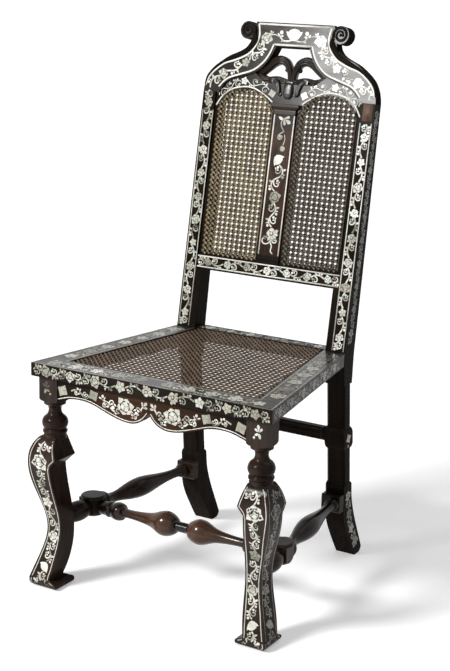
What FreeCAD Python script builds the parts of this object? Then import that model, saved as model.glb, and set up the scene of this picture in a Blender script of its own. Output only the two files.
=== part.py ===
import FreeCAD, Part
import math
import os

# A high-backed caned side chair. Sizes are in millimetres. The chair faces -Y, X runs across
# it and Z is up. While it is built, Y is 0 at the front edge of the seat and Z is 0 on the
# floor. At the end every piece moves so that the origin lies below the middle of the chair.

# Seat frame
seat_height = 455.0
seat_front_width = 530.0
seat_depth = 403.0
seat_rail_thickness = 26.0
seat_rail_face = 47.0
cane_ledge_width = 8.0
cane_ledge_depth = 3.0
seat_cane_thickness = 1.5
seat_cane_pitch = 24.0
seat_cane_hole = 8.0
back_seat_rail_setback = 6.0
back_seat_rail_face = 30.0

# Raked back: heights are measured up the rake from the seat, depths square to it
back_width = 394.0
back_rake = 10.48
post_width = 42.5
post_depth = 43.0
post_top_depth = 25.0
lower_rail_bottom = 124.0
lower_rail_height = 39.0
lower_rail_border = 11.0
lower_rail_depth = 22.0
cane_height = 292.0
arch_outer_rise = 8.0
arch_rise = 43.0
arched_rail_end = 27.0
arched_rail_height = 18.0
arched_rail_depth = 18.0
crest_gap = 18.0
crest_band = 48.0
crest_depth = 25.0
crest_top_half = 88.5
crest_neck_half = 97.5
crest_neck_drop = 38.0
crest_foot_width = 37.0
crest_opening_half = 38.0
volute_radius = 18.0
volute_offset = 16.5
volute_proud = 3.0
panel_recess = 4.0
panel_border = 13.0
splat_half = 34.5
splat_band_half = 24.5
splat_depth = 18.0
capital_bottom_half = 24.0
capital_top_half = 31.5
capital_height = 21.0
capital_proud = 5.0
back_cane_lap = 4.0
back_cane_thickness = 1.2
back_cane_pitch = 12.0
back_cane_hole = 5.0

# Pierced carving under the crest
carving_setback = 6.0
carving_depth = 14.0
carving_height = 54.0
carving_peak_x = 30.0
carving_dip_drop = 13.0
carving_side_drop = 24.0
carving_stem_half = 8.5
carving_root = 11.0
carving_hole_height = 26.0
carving_hole_outer = 57.0
boss_half = 10.7
boss_rise = 5.0
boss_length = 35.0
boss_proud = 5.0
curl_radius = 9.0
curl_centre_x = 20.0

# Rear legs below the seat
seat_block_drop = 68.0
leg_depth = 33.0
leg_setback = 0.084
leg_inset = 1.0
leg_chamfer = 5.0
rear_stretcher_height = 273.0
rear_block_height = 50.0
rear_block_drop = 3.0
rear_block_proud = 1.6
rear_block_round = 6.5
block_bevel = 5.0
foot_block_rise = 39.0
foot_sweep = 58.0
foot_round = 12.0

# Front legs
leg_axis_inset_x = 35.0
leg_axis_inset_y = 28.0
leg_block_half = 21.3
leg_block_height = 50.0
leg_block_round = 4.5
leg_turning_height = 70.0
neck_radius = 12.7
ball_radius = 25.4
ring_radius = 24.0
knee_reach = 38.0
ankle_reach = 12.0
toe_reach = 38.0
knee_ear = 27.0
knee_waist = 14.0
ankle_inside = 21.0
ankle_behind = 31.0
heel = 9.0
foot_pad = 25.0
foot_pad_height = 15.0
foot_pad_round = 6.0
toe_round = 11.0
leg_dowel_radius = 9.0
leg_dowel_length = 18.0

# Front apron
apron_thickness = 18.0
apron_setback = 2.3
apron_cusp = 31.0
apron_lobe = 57.0
apron_end = 43.5

# Turned stretchers
stretcher_height = 134.0
stretcher_block_half = 20.0
stretcher_block_tall = 18.5
stretcher_block_place = 105.0
stretcher_disc_radius = 25.0
stretcher_disc_height = 5.0
stretcher_ball = 20.5
stretcher_waist = 11.5
stretcher_belly = 20.5
stretcher_rear_waist = 10.5
stretcher_end_tall = 18.0
stretcher_end_depth = 20.0
stretcher_tenon_radius = 8.0
stretcher_tenon_length = 20.0
cross_neck = 10.0
cross_bulb = 24.8
cross_bulb_place = 42.4
cross_waist = 9.0
cross_ring = 18.5
cross_ring_place = 153.0
rear_stretcher_tall = 25.0
rear_stretcher_deep = 18.0
rear_collar_radius = 15.5
rear_collar_length = 13.0

# Joints
tenon_thickness = 10.0
tenon_length = 20.0
tenon_shoulder = 5.0
mortise_clearance = 0.2
peg_radius = 3.0
peg_clearance = 0.1

# Places that follow from the sizes above
V = FreeCAD.Vector
UP = V(0, 0, 1)
half_back = back_width / 2
post_inner = half_back - post_width
post_mid = half_back - post_width / 2
seat_underside = seat_height - seat_rail_thickness
seat_block_bottom = seat_height - seat_block_drop
leg_block_bottom = seat_underside - leg_block_height
leg_knee_top = leg_block_bottom - leg_turning_height
foot_block_top = stretcher_height + foot_block_rise
foot_bend = stretcher_height
rear_rail_half = post_inner - rear_block_proud
leg_x = seat_front_width / 2 - leg_axis_inset_x
leg_y = leg_axis_inset_y
panel_edge = post_inner + panel_border
lower_rail_top = lower_rail_bottom + lower_rail_height
recess_bottom = lower_rail_top - lower_rail_border
arch_spring = lower_rail_top + cane_height
arch_outer_spring = arch_spring + arch_outer_rise
arch_crown = arch_spring + arch_rise
arch_saddle = arch_crown + arched_rail_height
crest_foot = arch_outer_spring + arched_rail_end
carving_hole_bottom = arch_saddle + carving_root
carving_hole_top = carving_hole_bottom + carving_hole_height
carving_peak = arch_saddle + carving_height
carving_dip = carving_peak - carving_dip_drop
carving_side = carving_peak - carving_side_drop
boss_top = arch_saddle + boss_rise
boss_bottom = boss_top - boss_length
crest_opening_top = carving_peak + crest_gap
crest_top = crest_opening_top + crest_band


def line(*points):
    return "line", points


def arc(through, end):
    return "arc", (through, end)


def curve(*points):
    return "curve", points


def xy(p):
    return V(p[0], p[1], 0)


def xz(p):
    return V(p[0], 0, p[1])


def yz(p):
    return V(0, p[0], p[1])


def edges_of(start, parts, place):
    """Edges that run from start through lines, three-point arcs and smooth curves."""
    edges = []
    here = start
    for kind, points in parts:
        if kind == "line":
            for p in points:
                edges.append(Part.LineSegment(place(here), place(p)).toShape())
                here = p
        elif kind == "arc":
            edges.append(Part.Arc(place(here), place(points[0]), place(points[1])).toShape())
            here = points[1]
        else:
            spline = Part.BSplineCurve()
            spline.interpolate([place(here)] + [place(p) for p in points])
            edges.append(spline.toShape())
            here = points[-1]
    return edges


def face_of(start, parts, place):
    return Part.Face(Part.Wire(edges_of(start, parts, place)))


def mirrored_face(start, parts, place):
    """A face with one half given from the middle line to the middle line."""
    half = edges_of(start, parts, place)
    other = [edge.mirror(V(0, 0, 0), V(1, 0, 0)) for edge in half]
    return Part.Face(Part.Wire(Part.__sortEdges__(half + other)))


def between(start, end, shares):
    """Points that lie at shares (across, up) of the way from start to end."""
    return [(start[0] + a * (end[0] - start[0]), start[1] + b * (end[1] - start[1])) for a, b in shares]


def box(low, high):
    size = V(*high) - V(*low)
    return Part.makeBox(size.x, size.y, size.z, V(*low))


def fuse(first, *others):
    return first.multiFuse(list(others)).removeSplitter()


def mirror(shape):
    return shape.mirror(V(0, 0, 0), V(1, 0, 0))


def lean(shape):
    """Moves a shape from the flat frame of the back (x, depth, rise) to its rake on the seat."""
    leaning = shape.copy()
    leaning.rotate(V(0, 0, 0), V(1, 0, 0), -back_rake)
    leaning.translate(V(0, seat_depth, seat_height))
    return leaning


def lean_point(depth, rise):
    """The (y, z) place of a point of the back."""
    angle = math.radians(back_rake)
    y = seat_depth + rise * math.sin(angle) + depth * math.cos(angle)
    z = seat_height + rise * math.cos(angle) - depth * math.sin(angle)
    return y, z


def turned(start, parts):
    """A turning about the Y axis: the outline gives (radius, place along the axis)."""
    return face_of(start, parts, xy).revolve(V(0, 0, 0), V(0, 1, 0), 360)


def rod(radius, length, start, direction):
    return Part.makeCylinder(radius, length, V(*start), V(*direction))


def square(x, y, half_x, half_y, z, corner=0.0):
    """A closed outline round (x, y) at height z, a rectangle or, with corners cut, an octagon."""
    near = [(half_x, half_y - corner), (half_x - corner, half_y)]
    if corner == 0:
        near = near[:1]
    points = []
    for sx, sy in ((1, 1), (-1, 1), (-1, -1), (1, -1)):
        turn = [V(x + sx * a, y + sy * b, z) for a, b in near]
        points += turn if sx * sy > 0 else turn[::-1]
    return Part.makePolygon(points + points[:1])


def stack(sections):
    """A solid with flat sides through closed outlines, from the lowest to the highest."""
    return Part.makeLoft(sections, True, True)


def leg_front(z):
    """Front face of a rear leg at height z, which runs back a little below the seat."""
    return seat_depth + leg_setback * (seat_height - z)


def leg_mid(z):
    return leg_front(z) + leg_depth / 2


# Back posts: a raked stile above the seat and a chamfered rear leg with square blocks below it
def back_post():
    front_top = lean_point(0, crest_foot)
    rear_top = lean_point(post_top_depth, crest_foot)
    rear_seat = lean_point(post_depth, 0)
    low_front = leg_front(seat_block_bottom)
    side = face_of((low_front, seat_block_bottom), [
        line((seat_depth, seat_height), front_top, rear_top, rear_seat,
             (low_front + leg_depth, seat_block_bottom), (low_front, seat_block_bottom))], yz)
    stile = side.extrude(V(post_width, 0, 0))
    stile.translate(V(post_inner, 0, 0))

    def octagon(z):
        half_x = post_width / 2 - leg_inset
        half_y = leg_depth / 2 - leg_inset
        return square(post_mid, leg_mid(z), half_x, half_y, z, leg_chamfer)

    def block(z, inset=0.0):
        half_x = post_width / 2 + rear_block_proud - inset
        half_y = leg_depth / 2 + rear_block_proud - inset
        return square(post_mid, leg_mid(z), half_x, half_y, z)

    shaft = stack([octagon(foot_block_top - block_bevel), octagon(seat_block_bottom + block_bevel)])
    low = rear_stretcher_height - rear_block_drop - rear_block_height / 2
    high = low + rear_block_height
    rounding = [(0.0, 1.0), (0.4, 0.5), (1.0, 0.16), (2.0, 0.0)]
    lower = [block(low + rise * rear_block_round, inset * rear_block_round) for rise, inset in rounding]
    upper = [block(high - rise * rear_block_round, inset * rear_block_round) for rise, inset in rounding]
    middle_block = stack(lower + upper[::-1])
    shoulder = foot_block_top - block_bevel
    bend_front = leg_front(foot_bend)
    toe = bend_front + foot_sweep
    front_curve = between((bend_front, foot_bend), (toe, 0),
                          ((0.11, 0.37), (0.55, 0.71), (0.85, 0.91), (1, 1)))
    rear_bend = (bend_front + leg_depth, foot_bend + block_bevel)
    rear_toe = (toe + leg_depth - 4 * leg_inset, foot_round)
    rear_curve = between(rear_toe, rear_bend, ((0.236, 0.21), (0.684, 0.6), (1, 1)))
    foot_side = face_of((bend_front, foot_bend), [
        curve(*front_curve),
        line((rear_toe[0] - foot_round, 0)),
        arc((rear_toe[0] - 0.3 * foot_round, 0.3 * foot_round), rear_toe),
        curve(*rear_curve),
        line((leg_front(shoulder) + leg_depth, shoulder),
             (leg_front(foot_block_top) + leg_depth - block_bevel, foot_block_top),
             (leg_front(foot_block_top) + block_bevel, foot_block_top),
             (leg_front(shoulder), shoulder), (bend_front, foot_bend))], yz)
    foot = foot_side.extrude(V(post_width, 0, 0))
    foot.translate(V(post_inner, 0, 0))
    return fuse(stile, shaft, middle_block, foot)


# Seat frame: a tapering frame of four rails, rebated inside for the cane
def seat_half_width(y):
    return seat_front_width / 2 - (seat_front_width / 2 - half_back) * y / seat_depth


def seat_outline(inset, front, rear, low, high):
    """A tapering slab set in from the seat's sides."""
    face = mirrored_face((0, front), [
        line((seat_half_width(front) - inset, front), (seat_half_width(rear) - inset, rear), (0, rear))], xy)
    slab = face.extrude(V(0, 0, high - low))
    slab.translate(V(0, 0, low))
    return slab


back_rail_front = seat_depth + back_seat_rail_setback
ledge_top = seat_height - cane_ledge_depth
front_rail_rear = seat_rail_face + cane_ledge_width


def cane_space():
    above = seat_height + seat_rail_thickness
    return seat_outline(seat_rail_face, seat_rail_face, back_rail_front, ledge_top, above)


def side_rail():
    inner = seat_rail_face + cane_ledge_width
    face = face_of((seat_half_width(front_rail_rear), front_rail_rear), [
        line((half_back, seat_depth), (half_back - inner, seat_depth),
             (seat_half_width(front_rail_rear) - inner, front_rail_rear),
             (seat_half_width(front_rail_rear), front_rail_rear))], xy)
    rail = face.extrude(V(0, 0, seat_rail_thickness))
    rail.translate(V(0, 0, seat_underside))
    return rail.cut(cane_space())


def seat_tenon_band(gap=0.0):
    """Lowest and highest level of the seat frame's tenons."""
    return seat_underside + tenon_shoulder - gap, ledge_top - tenon_shoulder + gap


def side_rail_tenons(gap=0.0):
    """Tenons of the right side rail, into the front rail and into the post."""
    low, high = seat_tenon_band(gap)
    half = tenon_thickness / 2 + gap
    front_x = seat_half_width(front_rail_rear) - seat_rail_face / 2
    dowel_rear = leg_y + leg_dowel_radius + tenon_shoulder
    front = box((front_x - half, dowel_rear - gap, low),
                (front_x + half, front_rail_rear + tenon_shoulder, high))
    rear = box((post_mid - half, seat_depth - tenon_shoulder, low),
               (post_mid + half, seat_depth + tenon_length + gap, high))
    return front, rear


def front_rail():
    half = seat_front_width / 2
    face = mirrored_face((0, 0), [line((half, 0), (seat_half_width(front_rail_rear), front_rail_rear),
                                       (0, front_rail_rear))], xy)
    rail = face.extrude(V(0, 0, seat_rail_thickness))
    rail.translate(V(0, 0, seat_underside))
    return rail.cut(cane_space())


def back_rail():
    low_y = back_rail_front - cane_ledge_width
    high_y = back_rail_front + back_seat_rail_face
    rail = box((-post_inner, low_y, seat_underside), (post_inner, high_y, seat_height))
    return rail.cut(cane_space())


back_seat_tenon_y = back_rail_front + back_seat_rail_face / 2
back_seat_tenon_length = post_width / 2 - tenon_thickness / 2 - 2 * mortise_clearance - peg_clearance


def back_rail_tenon(gap=0.0):
    low, high = seat_tenon_band(gap)
    half = tenon_thickness / 2 + gap
    return box((post_inner - tenon_shoulder, back_seat_tenon_y - half, low),
               (post_inner + back_seat_tenon_length + gap, back_seat_tenon_y + half, high))


def holed_sheet(sheet, pitch, hole_radius, thickness, inside):
    """A sheet with a net of round gaps wherever a whole gap fits inside the frame."""
    bounds = sheet.BoundBox
    across = int((bounds.XLength - pitch) // pitch)
    along = int((bounds.YLength - pitch) // pitch)
    mid_x = bounds.Center.x
    mid_y = bounds.Center.y
    gaps = []
    for i in range(across + 1):
        for j in range(along + 1):
            x = mid_x + (i - across / 2) * pitch
            y = mid_y + (j - along / 2) * pitch
            if inside(x, y):
                gaps.append(Part.makeCircle(hole_radius, V(x, y, 0)))
    wires = [sheet.OuterWire] + [Part.Wire([gap]) for gap in gaps]
    net = Part.makeFace(wires, "Part::FaceMakerBullseye")
    return net.extrude(V(0, 0, thickness))


def seat_cane():
    inset = seat_rail_face + mortise_clearance
    front = seat_rail_face + mortise_clearance
    rear = back_rail_front - mortise_clearance
    rim = mirrored_face((0, front), [
        line((seat_half_width(front) - inset, front), (seat_half_width(rear) - inset, rear), (0, rear))], xy)
    margin = cane_ledge_width + seat_cane_hole

    def inside(x, y):
        return (abs(x) < seat_half_width(y) - seat_rail_face - margin
                and front + margin < y < rear - margin)

    net = holed_sheet(rim, seat_cane_pitch, seat_cane_hole, seat_cane_thickness, inside)
    net.translate(V(0, 0, ledge_top))
    return net


# Raked back: rails, splat, crest, carving and cane, made flat and then leaned
def board(face, front, rear):
    """A board of the back between two depths, from its front outline."""
    solid = face.extrude(V(0, rear - front, 0))
    solid.translate(V(0, front, 0))
    return solid


def panel_space():
    """The shallow recess round the cane panels, on both sides of the splat's raised band."""
    right = box((splat_band_half, -capital_proud, recess_bottom), (panel_edge, panel_recess, crest_foot))
    return right, mirror(right)


crest_foot_inner = half_back - crest_foot_width


def crest_inner_curve():
    corner = (crest_opening_half, crest_opening_top)
    foot = (crest_foot_inner, crest_foot)
    shares = ((0.082, 0.21), (0.189, 0.39), (0.344, 0.54), (0.59, 0.645), (0.795, 0.73),
              (0.9, 0.815), (0.967, 0.93), (1, 1))
    return corner, between(corner, foot, shares)


def crest_opening(rear):
    """The space inside the crest, closed along the tops of the posts."""
    corner, points = crest_inner_curve()
    face = mirrored_face((0, crest_opening_top), [line(corner), curve(*points), line((0, crest_foot))], xz)
    return board(face, -capital_proud, rear)


def crest():
    neck = (crest_neck_half, crest_top - crest_neck_drop)
    shoulder = between((half_back, crest_foot), neck, (
        (0.025, 0.157), (0.07, 0.278), (0.176, 0.435), (0.322, 0.556), (0.543, 0.694),
        (0.774, 0.787), (0.925, 0.88), (1, 1)))
    corner, points = crest_inner_curve()
    points = [corner] + points
    face = mirrored_face((0, crest_opening_top), [
        line(corner),
        curve(*points[1:]),
        line((half_back, crest_foot)),
        curve(*shoulder),
        line((crest_top_half, crest_top), (0, crest_top))], xz)
    body = board(face, 0, crest_depth)
    centre = V(crest_top_half + volute_offset, -volute_proud, crest_top - volute_radius)
    volute = Part.makeCylinder(volute_radius, crest_depth + volute_proud, centre, V(0, 1, 0))
    return fuse(body, volute, mirror(volute))


post_top_tenon_half = crest_foot_width / 2 - tenon_shoulder


def post_top_tenon(gap=0.0):
    mid_x = half_back - crest_foot_width / 2
    mid_y = post_top_depth / 2
    half_y = tenon_thickness / 2 + gap
    half_x = post_top_tenon_half - tenon_shoulder + gap
    return box((mid_x - half_x, mid_y - half_y, crest_foot - tenon_shoulder),
               (mid_x + half_x, mid_y + half_y, crest_foot + tenon_length + gap))


def arched_rail():
    crown_x = (splat_half + post_inner) / 2
    face = mirrored_face((0, arch_spring), [
        line((splat_half, arch_spring)),
        arc((crown_x, arch_crown), (post_inner, arch_outer_spring)),
        line((post_inner, crest_foot), (post_inner, crest_opening_top), (carving_hole_outer, arch_saddle),
             (0, arch_saddle))], xz)
    whole = board(face, panel_recess, panel_recess + arched_rail_depth)
    space = crest_opening(crest_depth)
    below = box((-post_inner, 0, 0), (post_inner, crest_depth, crest_foot))
    return whole.common(fuse(space, below))


def rail_tenon(low, high, front, depth, gap=0.0):
    """Tenon of a back rail into the right post."""
    mid = front + depth / 2
    half = tenon_thickness / 2 + gap
    return box((post_inner - tenon_shoulder, mid - half, low + tenon_shoulder - gap),
               (post_inner + tenon_length + gap, mid + half, high - tenon_shoulder + gap))


def arched_rail_tenon(gap=0.0):
    return rail_tenon(arch_outer_spring, crest_foot, panel_recess, arched_rail_depth, gap)


def lower_rail_tenon(gap=0.0):
    return rail_tenon(lower_rail_bottom, lower_rail_top, 0, lower_rail_depth, gap)


def lower_rail():
    rail = box((-post_inner, 0, lower_rail_bottom), (post_inner, lower_rail_depth, lower_rail_top))
    return rail.cut(panel_space())


def splat():
    upright = box((-splat_half, 0, lower_rail_top), (splat_half, splat_depth, arch_spring))
    return upright.cut(panel_space())


def splat_tenons(gap=0.0):
    mid = panel_recess + (splat_depth - panel_recess) / 2
    half_y = tenon_thickness / 2 + gap
    half_x = splat_band_half - tenon_shoulder + gap
    lower = box((-half_x, mid - half_y, lower_rail_top - tenon_length - gap),
                (half_x, mid + half_y, lower_rail_top + tenon_shoulder))
    upper = box((-half_x, mid - half_y, arch_spring - tenon_shoulder),
                (half_x, mid + half_y, arch_spring + tenon_length + gap))
    return lower, upper


def capital():
    """A flared and stepped block planted on the arched rail above the splat."""
    low = arch_spring
    high = arch_spring + capital_height
    step = low + 0.7 * capital_height
    face = mirrored_face((0, low), [
        line((capital_bottom_half, low), ((capital_bottom_half + capital_top_half) / 2, step),
             (capital_top_half, step), (capital_top_half, high), (0, high))], xz)
    return board(face, -capital_proud, panel_recess)


def carving():
    """Two C-scroll arches on a stem, pierced on both sides, with a tongue and curls below."""
    rear = carving_setback + carving_depth
    arch_end = crest_opening_half
    face = mirrored_face((0, arch_saddle), [
        line((post_inner, arch_saddle), (post_inner, carving_side),
             (arch_end + boss_half, carving_side + boss_half)),
        curve((arch_end, (carving_side + carving_peak) / 2 + boss_half), (carving_peak_x, carving_peak),
              (carving_peak_x / 2, (carving_peak + carving_dip) / 2 + boss_half / 3), (0, carving_dip))], xz)
    whole = board(face, carving_setback, rear)
    hole_mid = (carving_hole_top + carving_hole_bottom) / 2
    hole = face_of((carving_stem_half, carving_hole_bottom), [
        arc((carving_stem_half + boss_half / 3, hole_mid + boss_half / 3),
            (carving_peak_x, carving_hole_top)),
        arc((carving_hole_outer * 0.78, hole_mid - boss_half / 6),
            (carving_hole_outer, carving_hole_bottom + boss_half / 2)),
        arc((carving_peak_x, carving_hole_bottom - boss_half / 6),
            (carving_stem_half, carving_hole_bottom))], xz)
    piercing = board(hole, 0, crest_depth)
    scroll = whole.cut([piercing, mirror(piercing)]).common(crest_opening(crest_depth))
    tongue_face = mirrored_face((0, boss_bottom), [
        arc((boss_half * 0.75, boss_bottom + boss_half * 0.4), (boss_half, boss_bottom + boss_half)),
        line((boss_half, boss_top + boss_half), (0, boss_top + boss_half))], xz)
    tongue = board(tongue_face, panel_recess - boss_proud, panel_recess)
    curl = Part.makeCylinder(curl_radius, boss_proud, V(curl_centre_x, panel_recess - boss_proud,
                             boss_bottom + 2 * curl_radius), V(0, 1, 0))
    curl_stem = box((boss_half, panel_recess - boss_proud, boss_bottom + 2 * curl_radius),
                    (curl_centre_x + curl_radius, panel_recess, boss_top + boss_half))
    root = box((-curl_centre_x - curl_radius, panel_recess - boss_proud, arch_saddle),
               (curl_centre_x + curl_radius, rear, boss_top + boss_half / 4))
    front = fuse(tongue, curl, mirror(curl), curl_stem, mirror(curl_stem), root)
    trim = box((-post_inner, -capital_proud, boss_bottom), (post_inner, rear, boss_top + boss_half / 4))
    return fuse(scroll, front.common(trim))


def back_cane():
    """Caned sheet of the right half, lying on the recessed borders."""
    left = splat_half - back_cane_lap
    right = post_inner + back_cane_lap
    crown_x = (splat_half + post_inner) / 2
    low = lower_rail_top - back_cane_lap
    spring = arch_spring + back_cane_lap / 2
    outer = arch_outer_spring + back_cane_lap / 2
    crown = arch_crown + back_cane_lap
    face = face_of((left, low), [
        line((right, low), (right, outer)),
        arc((crown_x, crown), (left, spring)),
        line((left, low))], xy)
    margin = back_cane_lap + back_cane_hole

    def inside(x, y):
        top = min(arch_spring, arch_outer_spring)
        rise = arch_crown - top
        span = (post_inner - splat_half) / 2
        roof = top + rise * math.sqrt(max(0.0, 1 - ((x - crown_x) / span) ** 2))
        return left + margin < x < right - margin and low + margin < y < roof - margin

    net = holed_sheet(face, back_cane_pitch, back_cane_hole, back_cane_thickness, inside)
    net.rotate(V(0, 0, 0), V(1, 0, 0), 90)
    net.translate(V(0, panel_recess, 0))
    return net


# Front legs: a square block, a turned neck, ball and ring, and a square-sawn cabriole leg
def leg_side(inside_reach):
    """Outline of the cabriole leg seen from one side, as (reach outwards, height)."""
    top = leg_knee_top
    knee = 0.83 * top
    ankle = 0.385 * top
    toe = 0.06 * top
    step = 0.87 * top
    calf = (knee_reach + ankle_reach) / 2
    instep = (ankle_reach + toe_reach) / 2
    outer = [(-0.78 * knee_reach, 0.96 * top), (-knee_reach, knee), (-calf, 0.61 * top),
             (-ankle_reach, ankle), (-instep, 0.19 * top), (-toe_reach, toe)]
    inner = [(heel + 0.35 * (inside_reach - heel), 0.12 * top), (inside_reach, ankle),
             ((inside_reach + knee_waist) / 2, 0.61 * top), (knee_waist, 0.82 * top)]
    pad_top = (heel, foot_pad_height + block_bevel)
    return face_of((-0.53 * knee_reach, top), [
        curve(*outer),
        line((-toe_reach, toe_round)),
        arc((-toe_reach + 0.3 * toe_round, 0.3 * toe_round), (-toe_reach + toe_round, 0)),
        line((foot_pad - foot_pad_round, 0)),
        arc((foot_pad - 0.3 * foot_pad_round, 0.3 * foot_pad_round), (foot_pad, foot_pad_round)),
        line((foot_pad, foot_pad_height - foot_pad_round)),
        arc((foot_pad - 0.3 * foot_pad_round, foot_pad_height - 0.3 * foot_pad_round),
            (foot_pad - foot_pad_round, foot_pad_height)),
        line(pad_top),
        curve(*inner),
        line((knee_ear, step), (0.6 * knee_ear, top), (-0.53 * knee_reach, top))], yz)


def front_leg():
    """The right front leg."""
    reach = 2 * (knee_reach + toe_reach + ankle_behind)
    across = leg_side(ankle_inside)
    across.rotate(V(0, 0, 0), UP, 90)
    across = across.extrude(V(0, reach, 0))
    across.translate(V(0, -reach / 2, 0))
    along = leg_side(ankle_behind).extrude(V(reach, 0, 0))
    along.translate(V(-reach / 2, 0, 0))
    cabriole = across.common(along)
    top = leg_knee_top
    collar = leg_block_bottom
    span = collar - top
    ring_z = top + 0.14 * span
    ball_z = top + 0.39 * span
    neck_z = top + 0.7 * span
    shape = turned((0, top - block_bevel), [
        line((0.92 * ring_radius, top - block_bevel), (0.92 * ring_radius, top + 0.08 * span)),
        arc((ring_radius, ring_z), (0.9 * ring_radius, top + 0.19 * span)),
        line((0.82 * ball_radius, top + 0.21 * span)),
        arc((ball_radius, ball_z), (0.76 * ball_radius, top + 0.56 * span)),
        curve((1.2 * neck_radius, top + 0.615 * span), (neck_radius, neck_z),
              (1.12 * neck_radius, top + 0.85 * span)),
        line((0.84 * leg_block_half, top + 0.89 * span), (leg_block_half, top + 0.92 * span),
             (leg_block_half, collar), (0, collar), (0, top - block_bevel))])
    shape.rotate(V(0, 0, 0), V(1, 0, 0), 90)
    foot = collar - tenon_shoulder / 2
    block = box((-leg_block_half, -leg_block_half, foot), (leg_block_half, leg_block_half, seat_underside))
    corner = 1.42 * leg_block_half
    cushion = turned((0, foot), [
        line((0.9 * leg_block_half, foot), (leg_block_half, collar)),
        arc((leg_block_half + 0.66 * (corner - leg_block_half), collar + 0.4 * leg_block_round),
            (corner, collar + leg_block_round)),
        line((corner, seat_underside), (0, seat_underside), (0, foot))])
    cushion.rotate(V(0, 0, 0), V(1, 0, 0), 90)
    leg = fuse(cabriole, shape, block.common(cushion))
    leg.translate(V(leg_x, leg_y, 0))
    return leg


def leg_dowel(gap=0.0):
    """Round tenon on the right front leg, up into the front seat rail."""
    return rod(leg_dowel_radius + gap, leg_dowel_length + tenon_shoulder + gap,
               (leg_x, leg_y, seat_underside - tenon_shoulder), UP)


apron_front = leg_y - leg_block_half + apron_setback
apron_side = leg_x - leg_block_half


def apron():
    """Shaped board under the front rail: two lobes with a cusp between them."""
    cusp = seat_underside - apron_cusp
    lobe = seat_underside - apron_lobe
    end = seat_underside - apron_end
    rise = apron_lobe - apron_cusp
    half = apron_side
    face = mirrored_face((0, cusp), [
        curve((0.06 * half, lobe + 0.42 * rise), (0.145 * half, lobe + 0.06 * rise), (0.24 * half, lobe),
              (0.34 * half, lobe + 0.13 * rise), (0.48 * half, lobe + 0.46 * rise),
              (0.62 * half, lobe + 0.82 * rise), (0.73 * half, lobe + 0.93 * rise),
              (0.86 * half, lobe + 0.85 * rise), (0.93 * half, lobe + 0.7 * rise), (half, end)),
        line((half, seat_underside), (0, seat_underside))], xz)
    solid = face.extrude(V(0, apron_thickness, 0))
    solid.translate(V(0, apron_front, 0))
    return solid


def apron_tenon(gap=0.0):
    half = tenon_thickness / 2 + gap
    mid = apron_front + apron_thickness / 2
    return box((apron_side - tenon_shoulder, mid - half, seat_underside - apron_end + tenon_shoulder - gap),
               (apron_side + 0.75 * tenon_length + gap, mid + half, seat_underside - tenon_shoulder + gap))


# Turned stretchers: two side ones with blocks and square rear ends, one across, and a moulded one at the rear
rear_end_y = leg_mid(stretcher_height)
stretcher_angle = math.degrees(math.atan2(leg_x - post_mid, rear_end_y - leg_y))
stretcher_length = math.hypot(leg_x - post_mid, rear_end_y - leg_y)
block_x = leg_x - stretcher_block_place * math.sin(math.radians(stretcher_angle))
block_y = leg_y + stretcher_block_place * math.cos(math.radians(stretcher_angle))


def place_side(shape):
    """Moves a shape from the right stretcher's own axis to its place between the legs."""
    placed = shape.copy()
    placed.rotate(V(0, 0, 0), UP, stretcher_angle)
    placed.translate(V(leg_x, leg_y, stretcher_height))
    return placed


def side_stretcher_body():
    start = stretcher_block_place - stretcher_block_half
    after = stretcher_block_place + stretcher_block_half
    end = stretcher_length
    run = end - leg_depth / 2 - after
    inside_leg = ankle_behind - tenon_shoulder
    front = turned((0, inside_leg), [
        line((0.7 * stretcher_ball, inside_leg), (0.7 * stretcher_ball, ankle_behind)),
        arc((stretcher_ball, (ankle_behind + start) / 2), (0.75 * stretcher_ball, start)),
        line((0.75 * stretcher_ball, start + tenon_shoulder), (0, start + tenon_shoulder), (0, inside_leg))])
    ring = 0.06 * run
    block_from = end - leg_depth / 2 - stretcher_end_depth
    rear = turned((0, after - tenon_shoulder), [
        line((1.7 * stretcher_waist, after - tenon_shoulder), (1.7 * stretcher_waist, after)),
        arc((1.85 * stretcher_waist, after + ring / 2), (1.4 * stretcher_waist, after + ring)),
        curve((stretcher_waist, after + 0.11 * run), (0.76 * stretcher_belly, after + 0.27 * run),
              (stretcher_belly, after + 0.44 * run), (0.74 * stretcher_belly, after + 0.6 * run),
              (stretcher_rear_waist, after + 0.74 * run), (stretcher_rear_waist, block_from - ring)),
        arc((1.4 * stretcher_rear_waist, block_from - ring / 2), (1.3 * stretcher_rear_waist, block_from)),
        line((1.3 * stretcher_rear_waist, end), (0, end), (0, after - tenon_shoulder))])
    half = stretcher_block_half
    tall = stretcher_block_tall
    block = box((-half, start, -tall), (half, after, tall))
    corner = 1.42 * half
    radius = stretcher_disc_radius
    top = tall + stretcher_disc_height
    cushion = turned((0, -tall), [
        line((0.8 * half, -tall)),
        arc((1.2 * half, -0.7 * tall), (corner, -0.1 * tall)),
        line((corner, tall), (0, tall), (0, -tall))])
    disc = turned((0, tall - tenon_shoulder), [
        line((0.9 * half, tall - tenon_shoulder), (radius, tall)),
        arc((0.96 * radius, tall + 0.7 * stretcher_disc_height), (0.82 * radius, top)),
        line((0, top), (0, tall - tenon_shoulder))])
    for shape in (cushion, disc):
        shape.rotate(V(0, 0, 0), V(1, 0, 0), 90)
        shape.translate(V(0, stretcher_block_place, 0))
    return fuse(place_side(fuse(front, block.common(cushion), disc, rear)), stretcher_end_block())


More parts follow.
